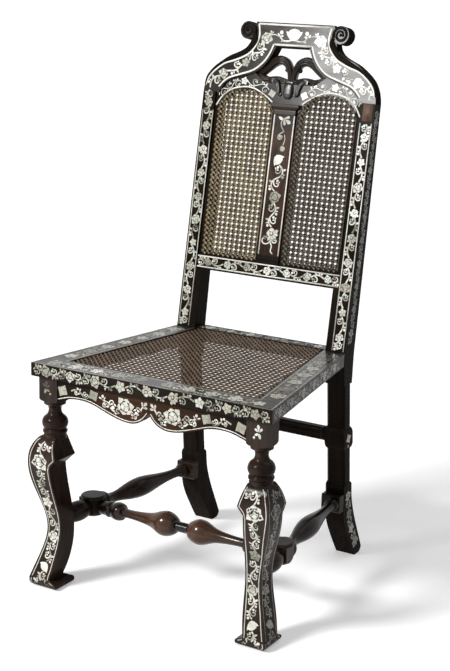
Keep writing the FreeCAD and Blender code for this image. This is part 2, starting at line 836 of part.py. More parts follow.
def stretcher_end_block():
    """Square end of the right side stretcher, against the front of the rear leg."""
    low = stretcher_height - stretcher_end_tall
    high = stretcher_height + stretcher_end_tall
    front = leg_front(stretcher_height) - stretcher_end_depth
    edge = 0.1 * stretcher_end_tall
    face = face_of((front + edge, low), [
        line((rear_end_y, low), (rear_end_y, high), (front + edge, high), (front, high - edge),
             (front, low + edge), (front + edge, low))], yz)
    block = face.extrude(V(post_width - leg_inset, 0, 0))
    block.translate(V(post_inner + leg_inset / 2, 0, 0))
    return block


def side_stretcher_tenons(gap=0.0):
    """Round tenons of the right side stretcher, into the front leg and the rear leg."""
    radius = stretcher_tenon_radius + gap
    front_face = ankle_behind
    rear_face = stretcher_length - leg_depth / 2
    overlap = 2 * stretcher_tenon_radius
    length = stretcher_tenon_length + overlap + gap
    front = rod(radius, length, (0, front_face - stretcher_tenon_length - gap, 0), (0, 1, 0))
    rear = rod(radius, length, (0, rear_face - overlap, 0), (0, 1, 0))
    return place_side(front), place_side(rear)


def cross_body():
    """Cross stretcher, turned about the X axis between the blocks of the side stretchers."""
    half = block_x
    ring = 0.05 * half
    lobe = cross_bulb_place
    shank = 0.76 * cross_ring
    right = turned((0, 0), [
        line((cross_neck, 0), (cross_neck, 0.3 * lobe), (1.35 * cross_neck, 0.34 * lobe)),
        curve((0.86 * cross_bulb, 0.6 * lobe), (cross_bulb, lobe), (0.64 * cross_bulb, 1.62 * lobe),
              (1.22 * cross_waist, 2.2 * lobe), (cross_waist, cross_ring_place - 1.2 * ring)),
        line((cross_ring * 0.86, cross_ring_place - ring)),
        arc((cross_ring, cross_ring_place), (cross_ring * 0.86, cross_ring_place + ring)),
        line((shank, cross_ring_place + ring), (shank, cross_ring_place + 1.4 * ring)),
        arc((1.16 * shank, cross_ring_place + 1.9 * ring), (shank, cross_ring_place + 2.4 * ring)),
        line((shank, half), (0, half), (0, 0))])
    right.rotate(V(0, 0, 0), UP, -90)
    both = fuse(right, mirror(right))
    both.translate(V(0, block_y, stretcher_height))
    return both


def cross_tenon(gap=0.0):
    """Round tenon at the right end of the cross stretcher."""
    start = block_x - 2 * stretcher_block_half
    length = 2 * stretcher_block_half + gap
    return rod(stretcher_tenon_radius + gap, length, (start, block_y, stretcher_height), (1, 0, 0))


rear_mid_y = leg_mid(rear_stretcher_height)


def rear_stretcher():
    """Moulded rail with a rounded ridge, and a round collar at each leg."""
    tall = rear_stretcher_tall / 2
    deep = rear_stretcher_deep / 2
    section = face_of((-deep, -tall), [
        line((deep, -tall), (deep, tall), (-0.4 * deep, tall)),
        arc((-0.82 * deep, 0.82 * tall), (-deep, 0.42 * tall)),
        line((-0.7 * deep, 0.3 * tall), (-0.7 * deep, 0.12 * tall), (-deep, 0), (-deep, -tall))], yz)
    rail = section.extrude(V(2 * rear_rail_half, 0, 0))
    rail.translate(V(-rear_rail_half, rear_mid_y, rear_stretcher_height))
    collar_edge = 0.85 * rear_collar_radius
    collar_start = rear_rail_half - rear_collar_length
    collar = turned((0, collar_start), [
        line((collar_edge, collar_start)),
        arc((rear_collar_radius, rear_rail_half - rear_collar_length / 2), (collar_edge, rear_rail_half)),
        line((0, rear_rail_half), (0, collar_start))])
    collar.rotate(V(0, 0, 0), UP, -90)
    collar.translate(V(0, rear_mid_y, rear_stretcher_height))
    return fuse(rail, collar, mirror(collar))


def rear_stretcher_tenon(gap=0.0):
    return rod(stretcher_tenon_radius + gap, stretcher_tenon_length + tenon_shoulder + gap,
               (rear_rail_half - tenon_shoulder, rear_mid_y, rear_stretcher_height), (1, 0, 0))


# Pegs through the posts and the tenons in them, let in from the rear
def peg(depth_from, depth_to, rise, gap=0.0):
    """A peg of the back's joints in the right post."""
    x = post_inner + tenon_length / 2
    return lean(rod(peg_radius + gap, depth_to - depth_from, (x, depth_from, rise), (0, 1, 0)))


def post_depth_at(rise):
    return post_depth + (post_top_depth - post_depth) * rise / crest_foot


def back_pegs(gap=0.0):
    pegs = []
    rails = ((lower_rail_bottom + lower_rail_height / 2, lower_rail_depth / 2),
             ((arch_outer_spring + crest_foot) / 2, panel_recess + arched_rail_depth / 2))
    for rise, middle in rails:
        blind_end = middle - tenon_thickness / 2 - peg_radius / 2
        pegs.append(peg(blind_end, post_depth_at(rise) - peg_clearance, rise, gap))
    return pegs


def stretcher_pegs(gap=0.0):
    """Pegs through the rear legs and the tenons of the rear stretcher."""
    x = post_inner + stretcher_tenon_length / 2
    length = leg_depth / 2 + rear_block_proud + stretcher_tenon_radius + peg_radius
    start = rear_mid_y - stretcher_tenon_radius - peg_radius
    return [rod(peg_radius + gap, length, (x, start, rear_stretcher_height), (0, 1, 0))]


def both_sides(shapes):
    return list(shapes) + [mirror(shape) for shape in shapes]


def build():
    """Cuts the mortises, adds the tenons and returns every piece by name."""
    gap = mortise_clearance
    nodes = {}

    right_post = back_post()
    right_post_plain = right_post.copy()
    right_leg = front_leg()
    right_leg_plain = right_leg.copy()

    stretcher_body = side_stretcher_body()
    stretcher = stretcher_body.cut([right_post_plain, right_leg_plain])
    stretcher = fuse(stretcher, *side_stretcher_tenons())
    cross_cut = both_sides([cross_tenon(gap)])
    cross = cross_body().cut(both_sides([stretcher_body]))
    nodes["cross_stretcher"] = fuse(cross, *both_sides([cross_tenon()]))
    stretcher = stretcher.cut(cross_cut[0])

    post_cuts = [lean(lower_rail_tenon(gap)), lean(arched_rail_tenon(gap)), back_rail_tenon(gap),
                 side_rail_tenons(gap)[1], side_stretcher_tenons(gap)[1], rear_stretcher_tenon(gap)]
    post_cuts += [lean(space) for space in panel_space()[:1]]
    post_cuts += back_pegs(peg_clearance) + stretcher_pegs(peg_clearance)
    right_post = fuse(right_post.cut(post_cuts), lean(post_top_tenon()))

    right_leg = right_leg.cut([side_stretcher_tenons(gap)[0], apron_tenon(gap)])
    right_leg = fuse(right_leg, leg_dowel())

    rail = fuse(side_rail(), *side_rail_tenons())
    pairs = {"back_post": right_post, "front_leg": right_leg, "seat_rail": rail, "side_stretcher": stretcher,
             "back_cane": lean(back_cane())}
    for name, shape in pairs.items():
        nodes["right_" + name] = shape
        nodes["left_" + name] = mirror(shape)

    front_cuts = both_sides([side_rail_tenons(gap)[0], leg_dowel(gap)])
    nodes["front_seat_rail"] = front_rail().cut(front_cuts)
    back_joint = both_sides([back_rail_tenon()])
    nodes["back_seat_rail"] = fuse(back_rail().cut(both_sides([side_rail()])), *back_joint)
    nodes["seat_cane"] = seat_cane()
    nodes["front_apron"] = fuse(apron(), *both_sides([apron_tenon()]))

    peg_holes = both_sides(back_pegs(peg_clearance))
    lower_cut, upper_cut = splat_tenons(gap)
    lower = fuse(lower_rail(), *both_sides([lower_rail_tenon()])).cut(lower_cut)
    nodes["lower_back_rail"] = lean(lower).cut(peg_holes)
    arched = fuse(arched_rail(), *both_sides([arched_rail_tenon()])).cut(upper_cut)
    nodes["arched_back_rail"] = lean(arched).cut(peg_holes)
    nodes["back_splat"] = lean(fuse(splat(), *splat_tenons()))
    nodes["splat_capital"] = lean(capital())
    nodes["crest_rail"] = lean(crest().cut(both_sides([post_top_tenon(gap)])))
    nodes["crest_carving"] = lean(carving().cut(arched_rail()))

    rear_cut = both_sides(stretcher_pegs(peg_clearance))
    rear = fuse(rear_stretcher(), *both_sides([rear_stretcher_tenon()]))
    nodes["rear_stretcher"] = rear.cut(rear_cut)
    nodes["back_joint_pegs"] = Part.makeCompound(both_sides(back_pegs()))
    nodes["stretcher_joint_pegs"] = Part.makeCompound(both_sides(stretcher_pegs()))
    return nodes


def main():
    nodes = build()
    bounds = Part.makeCompound(list(nodes.values())).optimalBoundingBox()
    origin = V(bounds.Center.x, bounds.Center.y, bounds.ZMin)
    os.makedirs("parts", exist_ok=True)
    for name, shape in sorted(nodes.items()):
        shape.translate(-origin)
        shape.exportStep("parts/" + name + ".step")
        print(name, "solids", len(shape.Solids), "valid", shape.isValid(), "volume %.0f" % shape.Volume)
    print("size %.1f %.1f %.1f" % (bounds.XLength, bounds.YLength, bounds.ZLength))


main()
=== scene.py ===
import bmesh
import bpy
import math
import random
from mathutils import Matrix, Vector


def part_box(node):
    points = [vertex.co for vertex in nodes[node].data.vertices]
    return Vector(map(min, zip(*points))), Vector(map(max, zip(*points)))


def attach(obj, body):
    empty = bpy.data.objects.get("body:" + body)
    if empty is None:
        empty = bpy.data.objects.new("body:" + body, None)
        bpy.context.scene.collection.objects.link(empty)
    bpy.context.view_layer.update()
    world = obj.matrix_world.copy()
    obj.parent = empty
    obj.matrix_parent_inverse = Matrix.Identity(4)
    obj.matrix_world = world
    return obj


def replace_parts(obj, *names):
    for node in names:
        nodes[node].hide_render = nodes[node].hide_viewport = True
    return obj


# Looks of a high-backed caned side chair with pearl inlay. Places are in metres in the chair's
# frame: X across, -Y out of its front, Z up. Inlay and carving are drawn in millimetres.

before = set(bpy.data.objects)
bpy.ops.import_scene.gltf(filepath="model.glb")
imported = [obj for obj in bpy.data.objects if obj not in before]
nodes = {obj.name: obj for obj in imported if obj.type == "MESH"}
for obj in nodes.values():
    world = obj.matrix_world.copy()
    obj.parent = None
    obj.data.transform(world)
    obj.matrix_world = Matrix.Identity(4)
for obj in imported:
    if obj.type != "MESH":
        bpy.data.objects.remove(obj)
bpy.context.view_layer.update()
scene = bpy.context.scene
MM = 0.001

# Places taken from the frame
SEAT_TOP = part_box("front_seat_rail")[1].z
SEAT_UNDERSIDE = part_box("front_seat_rail")[0].z
SEAT_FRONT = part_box("front_seat_rail")[0].y
SEAT_HALF_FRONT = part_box("front_seat_rail")[1].x
APRON_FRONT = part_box("front_apron")[0].y
CANE_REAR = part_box("seat_cane")[1].y
CANE_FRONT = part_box("seat_cane")[0].y
CANE_HALF_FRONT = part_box("seat_cane")[1].x

# Sizes of the chair that the looks follow
HALF_BACK = 197.0 * MM
BACK_RAKE = math.radians(10.48)
BACK_AHEAD_OF_CANE = 5.8
BACK_FOOT = Vector((0, CANE_REAR - BACK_AHEAD_OF_CANE * MM, SEAT_TOP))
BACK_UP = Vector((0, math.sin(BACK_RAKE), math.cos(BACK_RAKE)))
BACK_OUT = Vector((0, -math.cos(BACK_RAKE), math.sin(BACK_RAKE)))
RIGHT = Vector((1, 0, 0))
REARWARD = Vector((0, 1, 0))
UP = Vector((0, 0, 1))
PANEL_RECESS = 4.0

# The photograph's view
IMAGE_HEIGHT = 671
FOCAL_PIXELS = 1521.2
CAMERA_PLACE = Vector((1.493, -2.4566, 1.250))
CAMERA_YAW = 0.545
CAMERA_PITCH = 0.258
CAMERA_ROLL = 0.021


def back_place(x, v, w):
    """A place in millimetres across, up the raked back and behind its front face."""
    return BACK_FOOT + RIGHT * (x * MM) + BACK_UP * (v * MM) - BACK_OUT * (w * MM)


# Node trees
def fill(tree, node, inputs):
    """Gives each named socket of a node a value or a link."""
    for key, value in inputs.items():
        if isinstance(value, bpy.types.NodeSocket):
            tree.links.new(value, node.inputs[key])
        else:
            node.inputs[key].default_value = value


def add(tree, kind, inputs=None, **settings):
    """Adds a node: settings are its own options, inputs give a value or a link for each socket."""
    node = tree.nodes.new(kind)
    for key, value in settings.items():
        setattr(node, key, value)
    fill(tree, node, inputs or {})
    return node


def geo(tree, kind, inputs=None, **settings):
    """The first output of a new geometry node."""
    return add(tree, "GeometryNode" + kind, inputs, **settings).outputs[0]


def calculator(kind):
    """A function that adds a node of one kind for an operation on some values."""
    def calculate(tree, operation, *values):
        return add(tree, kind, dict(enumerate(values)), operation=operation).outputs[0]
    return calculate


maths = calculator("ShaderNodeMath")
logic = calculator("FunctionNodeBooleanMath")
vectors = calculator("ShaderNodeVectorMath")


def vectors_dot(tree, first, second):
    made = add(tree, "ShaderNodeVectorMath", {0: first, 1: second}, operation="DOT_PRODUCT")
    return made.outputs["Value"]


def scaled(tree, vector, factor):
    return add(tree, "ShaderNodeVectorMath", {0: vector, "Scale": factor}, operation="SCALE").outputs[0]


def xyz(tree, **parts):
    """A vector put together from some of its X, Y and Z."""
    return add(tree, "ShaderNodeCombineXYZ", parts).outputs[0]


def turned(tree, angle):
    """A turn by an angle in a flat drawing."""
    return add(tree, "FunctionNodeEulerToRotation", {"Euler": xyz(tree, Z=angle)}).outputs[0]


def split_place(tree):
    """The X, Y and Z of each point's place."""
    return add(tree, "ShaderNodeSeparateXYZ", {0: geo(tree, "InputPosition")}).outputs


def plane_place(tree, given, x, y):
    """A place across and up from the origin of a tree's plane."""
    place = vectors(tree, "ADD", given["Origin"], scaled(tree, given["Across"], x))
    return vectors(tree, "ADD", place, scaled(tree, given["Up"], y))


def geometry_tree(name, sockets):
    """An empty geometry tree with named inputs, and its input and output nodes."""
    tree = bpy.data.node_groups.new(name, "GeometryNodeTree")
    tree.interface.new_socket("Geometry", in_out="INPUT", socket_type="NodeSocketGeometry")
    for label, kind in sockets:
        tree.interface.new_socket(label, in_out="INPUT", socket_type="NodeSocket" + kind)
    tree.interface.new_socket("Geometry", in_out="OUTPUT", socket_type="NodeSocketGeometry")
    return tree, add(tree, "NodeGroupInput").outputs, add(tree, "NodeGroupOutput")


def end_tree(tree, shape, finish, result):
    """Makes a tree's instances real, sets their finish and gives them out."""
    whole = geo(tree, "RealizeInstances", {"Geometry": shape})
    done = geo(tree, "SetMaterial", {"Geometry": whole, "Material": finish})
    tree.links.new(done, result.inputs[0])


def piece_from_tree(name, mesh, tree, values):
    """Runs a tree on a mesh with named values and keeps the result as a plain mesh of the chair."""
    maker = bpy.data.objects.new(name + "_maker", mesh)
    scene.collection.objects.link(maker)
    modifier = maker.modifiers.new("maker", "NODES")
    modifier.node_group = tree
    for item in tree.interface.items_tree:
        if item.in_out == "INPUT" and item.name in values:
            modifier[item.identifier] = values[item.name]
    maker.update_tag()
    seen = maker.evaluated_get(bpy.context.evaluated_depsgraph_get())
    made = bpy.data.meshes.new_from_object(seen)
    bpy.data.objects.remove(maker)
    return place_piece(name, made)


def place_piece(name, mesh):
    mesh.name = name
    piece = bpy.data.objects.new(name, mesh)
    scene.collection.objects.link(piece)
    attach(piece, "root")
    return piece


# Materials
GRAIN_STRETCH = 0.93
EDGE_ROUNDING = 0.9
STAIN_BLACK = (0.006, 0.0045, 0.0035)


def shader(name):
    material = bpy.data.materials.new(name)
    material.use_nodes = True
    tree = material.node_tree
    return material, tree, tree.nodes["Principled BSDF"]


def object_place(tree):
    return add(tree, "ShaderNodeTexCoord").outputs["Object"]


def attribute(tree, name):
    return add(tree, "ShaderNodeAttribute", attribute_name=name).outputs["Fac"]


def noise(tree, vector, scale, detail=4.0, roughness=0.55, distortion=0.0):
    made = add(tree, "ShaderNodeTexNoise", {"Vector": vector, "Scale": scale, "Detail": detail,
                                            "Roughness": roughness, "Distortion": distortion})
    return made.outputs["Fac"]


def ramp(tree, value, *stops):
    made = add(tree, "ShaderNodeValToRGB", {"Fac": value})
    band = made.color_ramp
    while len(band.elements) < len(stops):
        band.elements.new(0.5)
    for element, (place, colour) in zip(band.elements, stops):
        element.position = place
        element.color = (*colour, 1)
    return made.outputs["Color"]


def spread(tree, value, low, high, to_low, to_high):
    made = add(tree, "ShaderNodeMapRange", {"Value": value, "From Min": low, "From Max": high,
                                            "To Min": to_low, "To Max": to_high})
    return made.outputs["Result"]


def blend(tree, factor, first, second, kind="MIX"):
    made = add(tree, "ShaderNodeMix", {"Factor": factor, "A": first, "B": second}, data_type="RGBA")
    made.blend_type = kind
    return made.outputs["Result"]


def weighed(tree, *parts):
    """The sum of values, each given with its weight."""
    terms = [maths(tree, "MULTIPLY", value, weight) for value, weight in parts]
    total = terms[0]
    for term in terms[1:]:
        total = maths(tree, "ADD", total, term)
    return total


def bumped(tree, strength, depth, height, **under):
    """A surface's normal with fine relief of a depth in millimetres."""
    made = add(tree, "ShaderNodeBump", {"Strength": strength, "Distance": depth * MM, "Height": height,
                                        **under})
    return made.outputs["Normal"]


def wood(name, grain, dark, light, worn, polish=0.03, rough=0.27, gloss=0.045, stain=None, sheen=0.0,
         shiny=BACK_OUT):
    """Old polished hardwood with streaks and pores along its grain and paler, rubbed edges.

    A stain gives an axis and how black the wood is at places along it. A sheen is extra gloss on
    faces that look the shiny way."""
    material, tree, body = shader(name)
    place = object_place(tree)
    along_grain = vectors(tree, "MULTIPLY", place, Vector((1, 1, 1)) - GRAIN_STRETCH * Vector(grain))
    streaks = noise(tree, along_grain, 95.0, 5.0, 0.6, 0.6)
    clouds = noise(tree, place, 11.0, 3.0)
    pores = noise(tree, along_grain, 620.0, 2.0, 0.5)
    colour = ramp(tree, weighed(tree, (streaks, 0.6), (clouds, 0.5)), (0.36, dark), (0.72, light))
    if stain:
        axis, stops = stain
        first, last = stops[0][0], stops[-1][0]
        reach = maths(tree, "ABSOLUTE", add(tree, "ShaderNodeSeparateXYZ", {0: place}).outputs[axis])
        share = spread(tree, reach, first, last, 0.0, 1.0)
        black = ramp(tree, share, *[((x - first) / (last - first), (d, d, d)) for x, d in stops])
        colour = blend(tree, black, colour, (*STAIN_BLACK, 1))
    rounded = add(tree, "ShaderNodeBevel", {"Radius": EDGE_ROUNDING * MM}, samples=4).outputs["Normal"]
    flat = add(tree, "ShaderNodeNewGeometry").outputs["Normal"]
    edge = maths(tree, "SUBTRACT", 1.0, vectors_dot(tree, rounded, flat))
    rubbed = spread(tree, maths(tree, "MULTIPLY", edge, clouds), 0.01, 0.14, 0.0, 0.7)
    dull = spread(tree, maths(tree, "ADD", streaks, clouds), 0.7, 1.3, 0.6 * rough, 1.4 * rough)
    fill(tree, body, {
        "Base Color": blend(tree, rubbed, colour, (*worn, 1)), "Roughness": dull,
        "Normal": bumped(tree, 0.22, 0.15, pores, Normal=rounded), "Specular IOR Level": gloss,
        "Coat Weight": polish, "Coat Roughness": 0.16, "Coat IOR": 1.3})
    if sheen:
        facing = vectors_dot(tree, flat, shiny)
        fill(tree, body, {"Specular IOR Level": spread(tree, facing, 0.9, 0.99, gloss, gloss + sheen)})
    return material


def pearl_material():
    """Polished shell: each cut piece has its own shade, with a faint green and rose cloud."""
    material, tree, body = shader("pearl_inlay")
    place = object_place(tree)
    clouds = noise(tree, place, 130.0, 3.0, 0.6, 0.8)
    wear = noise(tree, place, 16.0, 3.0, 0.6)
    lines = noise(tree, vectors(tree, "MULTIPLY", place, (1, 1, 0.2)), 700.0, 2.0)
    tone = maths(tree, "ADD", attribute(tree, "shade"), spread(tree, clouds, 0.3, 0.7, -0.16, 0.16))
    tone = maths(tree, "ADD", tone, spread(tree, wear, 0.35, 0.65, -0.14, 0.1))
    # The darkest stops serve dull pieces and also the painted shade of inlay on the chair's side faces.
    colour = ramp(tree, tone, (0.0, (0.03, 0.029, 0.022)), (0.16, (0.11, 0.107, 0.083)),
                  (0.5, (0.35, 0.34, 0.27)), (1.0, (0.84, 0.825, 0.785)))
    tint = ramp(tree, noise(tree, place, 60.0, 2.0), (0.35, (0.93, 1.0, 0.95)), (0.65, (1.0, 0.95, 0.93)))
    fill(tree, body, {
        "Base Color": blend(tree, 1.0, colour, tint, "MULTIPLY"),
        "Roughness": spread(tree, lines, 0.3, 0.7, 0.2, 0.36), "Coat Weight": 0.3, "Coat Roughness": 0.12})
    return material


def cane_material(name, dark, middle, light):
    """Split cane: painted highlight where a strand rides over the others and painted shade where it dips."""
    material, tree, body = shader(name)
    place = object_place(tree)
    patches = noise(tree, place, 38.0, 4.0, 0.6)
    fibres = noise(tree, place, 900.0, 2.0)
    # The rise term is painted light: paler on raised strands and painted shade where they dip; patches and
    # fibres are the cane's own tone.
    tone = weighed(tree, (attribute(tree, "rise"), 0.3), (patches, 0.55), (fibres, 0.3))
    fill(tree, body, {
        "Base Color": ramp(tree, tone, (0.12, dark), (0.45, middle), (0.82, light)),
        "Roughness": spread(tree, fibres, 0.3, 0.7, 0.3, 0.5), "Specular IOR Level": 0.1,
        "Normal": bumped(tree, 0.3, 0.1, fibres)})
    return material


ALONG_X = (1, 0, 0)
ALONG_Y = (0, 1, 0)
ALONG_Z = (0, 0, 1)
BLACK_WOOD = dict(dark=(0.005, 0.004, 0.003), light=(0.016, 0.011, 0.008), worn=(0.05, 0.031, 0.022))
BROWN_WOOD = dict(dark=(0.020, 0.010, 0.006), light=(0.088, 0.036, 0.017), worn=(0.13, 0.06, 0.03))
SPLAT_STAIN = ((0.6, 1.0), (0.6215, 1.0), (0.6235, 0.3), (0.72, 0.3), (0.8, 0.0), (0.86, 0.0), (0.885, 0.75))
APRON_STAIN = ((0.0, 0.0), (0.11, 0.1), (0.16, 0.7), (0.2, 0.95))
TURNED_STAIN = ((0.0, 1.0), (0.017, 1.0), (0.024, 0.0), (0.1, 0.1), (0.15, 0.85))
post_wood = wood("post_wood", ALONG_Z, gloss=0.01, **BLACK_WOOD)
rail_wood = wood("rail_wood", ALONG_X, gloss=0.02, **BLACK_WOOD)
border_wood = wood("border_wood", ALONG_X, gloss=0.0, **BLACK_WOOD)
crest_wood = wood("crest_wood", ALONG_X, rough=0.16, gloss=0.0, sheen=0.2, **BLACK_WOOD)
arch_wood = wood("arch_wood", ALONG_X, rough=0.16, gloss=0.0, sheen=0.16, **BLACK_WOOD)
tongue_wood = wood("tongue_wood", ALONG_Z, rough=0.3, gloss=0.2, sheen=0.6, **BLACK_WOOD)
side_wood = wood("side_rail_wood", ALONG_Y, sheen=0.3, shiny=UP, **BLACK_WOOD)
seat_wood = wood("seat_rail_wood", ALONG_X, sheen=0.46, shiny=UP, **BLACK_WOOD)
stretcher_wood = wood("stretcher_wood", ALONG_Y, polish=0.2, dark=(0.006, 0.0045, 0.0035),
                      light=(0.028, 0.017, 0.011), worn=(0.11, 0.065, 0.042))
leg_wood = wood("leg_wood", ALONG_Z, dark=(0.008, 0.0046, 0.0033), light=(0.034, 0.018, 0.0112),
                worn=(0.085, 0.045, 0.027), rough=0.18, gloss=0.05, sheen=0.12, shiny=-REARWARD)
splat_wood = wood("splat_wood", ALONG_Z, dark=(0.013, 0.0075, 0.005), light=(0.064, 0.029, 0.0155),
                  worn=(0.1, 0.05, 0.03), gloss=0.08, stain=("Z", SPLAT_STAIN))
apron_wood = wood("apron_wood", ALONG_X, dark=(0.011, 0.0065, 0.004), light=(0.06, 0.028, 0.014),
                  worn=(0.1, 0.05, 0.03), stain=("X", APRON_STAIN))
turned_wood = wood("turned_wood", ALONG_X, rough=0.16, polish=0.4, gloss=0.2, stain=("X", TURNED_STAIN),
                   **BROWN_WOOD)
carved_wood = wood("carved_wood", ALONG_X, rough=0.24, polish=0.15, gloss=0.09, dark=(0.006, 0.0045, 0.0035),
                   light=(0.022, 0.014, 0.01), worn=(0.09, 0.055, 0.036))
capital_wood = wood("capital_wood", ALONG_X, dark=(0.012, 0.008, 0.006), light=(0.05, 0.033, 0.025),
                    worn=(0.12, 0.075, 0.05), gloss=0.12)
patch_wood = wood("patch_wood", ALONG_Z, dark=(0.05, 0.028, 0.018), light=(0.17, 0.105, 0.075),
                  worn=(0.2, 0.13, 0.09))
pearl = pearl_material()
# The right panel's cane is a darker copy of the left panel's cane: painted shade.
back_canes = {
    "left": cane_material("left_back_cane", (0.009, 0.0064, 0.0034), (0.046, 0.034, 0.019),
                          (0.3, 0.24, 0.145)),
    "right": cane_material("right_back_cane", (0.004, 0.003, 0.0022), (0.018, 0.0145, 0.01),
                           (0.16, 0.135, 0.097)),
}
seat_cane = cane_material("seat_cane", (0.005, 0.003, 0.002), (0.024, 0.014, 0.009), (0.23, 0.155, 0.096))

NODE_WOODS = {
    "arched_back_rail": arch_wood, "back_joint_pegs": post_wood, "back_seat_rail": rail_wood,
    "back_splat": splat_wood, "crest_carving": carved_wood, "crest_rail": crest_wood,
    "cross_stretcher": turned_wood, "front_apron": apron_wood, "front_seat_rail": seat_wood,
    "lower_back_rail": rail_wood, "rear_stretcher": rail_wood, "splat_capital": carved_wood,
    "stretcher_joint_pegs": post_wood,
}
for side in ("left_", "right_"):
    NODE_WOODS[side + "back_post"] = post_wood
    NODE_WOODS[side + "front_leg"] = leg_wood
    NODE_WOODS[side + "seat_rail"] = side_wood
    NODE_WOODS[side + "side_stretcher"] = stretcher_wood
for name, finish in NODE_WOODS.items():
    nodes[name].data.materials.clear()
    nodes[name].data.materials.append(finish)


# Woven cane: pairs of upright and level strands, and two sets of slanting strands between them
ROW_BREADTH = 0.88
SLANT_BREADTH = 1.2
PAIR_GAP = 0.3
STRAND_THICKNESS = 0.6


def strand_tree():
    """One set of parallel strands, trimmed to a flat outline and waved over and under the others."""
    tree, given, result = geometry_tree("cane_strands", [
        ("Angle", "Float"), ("Spacing", "Float"), ("Offset", "Float"), ("Reach", "Float"), ("Swing", "Float"),
        ("Wave Axis", "Vector"), ("Pitch", "Float"), ("Level", "Float"), ("Width", "Float"),
        ("Thickness", "Float")])
    rows = maths(tree, "CEIL", maths(tree, "DIVIDE", given["Reach"], given["Spacing"]))
    first = maths(tree, "SUBTRACT", given["Offset"], maths(tree, "MULTIPLY", rows, given["Spacing"]))
    count = maths(tree, "ADD", maths(tree, "MULTIPLY", rows, 2.0), 1.0)
    starts = geo(tree, "MeshLine", {"Count": count, "Start Location": xyz(tree, X=first),
                                    "Offset": xyz(tree, X=given["Spacing"])})
    low = xyz(tree, Y=maths(tree, "MULTIPLY", given["Reach"], -1.0))
    strand = geo(tree, "CurvePrimitiveLine", {"Start": low, "End": xyz(tree, Y=given["Reach"])})
    stride = maths(tree, "DIVIDE", given["Pitch"], 4.0)
    strand = geo(tree, "ResampleCurve", {"Curve": strand, "Length": stride}, mode="LENGTH")
    rowed = geo(tree, "InstanceOnPoints", {"Points": starts, "Instance": strand})
    rowed = geo(tree, "RealizeInstances", {"Geometry": rowed})
    rowed = geo(tree, "Transform", {"Geometry": rowed, "Rotation": turned(tree, given["Angle"])})
    here = geo(tree, "InputPosition")
    inside = add(tree, "GeometryNodeRaycast", {
        "Target Geometry": given["Geometry"], "Source Position": vectors(tree, "ADD", here, (0, 0, 1)),
        "Ray Direction": (0, 0, -1), "Ray Length": 2.0}).outputs["Is Hit"]
    outside = logic(tree, "NOT", inside)
    rowed = geo(tree, "DeleteGeometry", {"Geometry": rowed, "Selection": outside}, domain="POINT")
    place = maths(tree, "DIVIDE", vectors_dot(tree, here, given["Wave Axis"]), given["Pitch"])
    wave = maths(tree, "COSINE", maths(tree, "MULTIPLY", place, 2 * math.pi))
    lift = maths(tree, "ADD", maths(tree, "MULTIPLY", wave, given["Swing"]), given["Level"])
    # The rise is kept for the cane's painted highlight on raised strands and painted shade where they dip.
    rise = maths(tree, "DIVIDE", lift, given["Thickness"])
    rowed = geo(tree, "StoreNamedAttribute", {"Geometry": rowed, "Name": "rise", "Value": rise},
                data_type="FLOAT", domain="POINT")
    rowed = geo(tree, "SetPosition", {"Geometry": rowed, "Offset": xyz(tree, Z=lift)})
    rowed = geo(tree, "SetCurveNormal", {"Curve": rowed}, mode="Z_UP")
    sides = {"Width": given["Width"], "Height": given["Thickness"]}
    section = geo(tree, "CurvePrimitiveQuadrilateral", sides, mode="RECTANGLE")
    strip = geo(tree, "CurveToMesh", {"Curve": rowed, "Profile Curve": section, "Fill Caps": True})
    tree.links.new(strip, result.inputs[0])
    return tree


STRANDS = strand_tree()


def cane_tree():
    """Joins the sets of strands on one outline and sets them in their plane."""
    tree, given, result = geometry_tree("woven_cane", [
        ("Pitch", "Float"), ("Pair Gap", "Float"), ("Width", "Float"), ("Thickness", "Float"),
        ("Reach", "Float"), ("Rows", "Float"), ("Slants", "Float"), ("Origin", "Vector"),
        ("Across", "Vector"), ("Up", "Vector"), ("Out", "Vector"), ("Finish", "Material")])
    thickness = given["Thickness"]
    half = maths(tree, "MULTIPLY", given["Pitch"], 0.5)
    slant = maths(tree, "DIVIDE", given["Pitch"], math.sqrt(2.0))
    half_slant = maths(tree, "MULTIPLY", slant, 0.5)
    sets = []
    for level, side in ((-0.9, -1.0), (0.5, 1.0)):
        place = maths(tree, "ADD", half, maths(tree, "MULTIPLY", given["Pair Gap"], side * 0.5))
        sets.append((0.0, given["Pitch"], place, 0.0, level, ALONG_Y, "Rows", ROW_BREADTH))
        sets.append((math.pi / 2, given["Pitch"], place, 0.25, -0.2, ALONG_X, "Rows", ROW_BREADTH))
    for angle, swing, level in ((math.pi / 4, 1.3, 0.4), (-math.pi / 4, -1.3, -0.1)):
        sets.append((angle, slant, half_slant, swing, level, ALONG_X, "Slants", SLANT_BREADTH))
    joined = add(tree, "GeometryNodeJoinGeometry")
    for angle, spacing, offset, swing, level, axis, shown, breadth in sets:
        family = geo(tree, "Group", {
            "Geometry": given["Geometry"], "Angle": angle, "Spacing": spacing, "Offset": offset,
            "Reach": given["Reach"], "Swing": maths(tree, "MULTIPLY", thickness, swing), "Wave Axis": axis,
            "Pitch": given["Pitch"], "Level": maths(tree, "MULTIPLY", thickness, level),
            "Width": maths(tree, "MULTIPLY", given["Width"], breadth), "Thickness": thickness},
            node_tree=STRANDS)
        chosen = geo(tree, "Switch", {"Switch": given[shown], "True": family})
        tree.links.new(chosen, joined.inputs[0])
    x, y, z = split_place(tree)
    where = vectors(tree, "ADD", plane_place(tree, given, x, y), scaled(tree, given["Out"], z))
    placed = geo(tree, "SetPosition", {"Geometry": joined.outputs[0], "Position": where})
    end_tree(tree, placed, given["Finish"], result)
    return tree


CANE = cane_tree()


def outline_mesh(name, points):
    mesh = bpy.data.meshes.new(name)
    mesh.from_pydata([(x * MM, y * MM, 0) for x, y in points], [], [list(range(len(points)))])
    return mesh


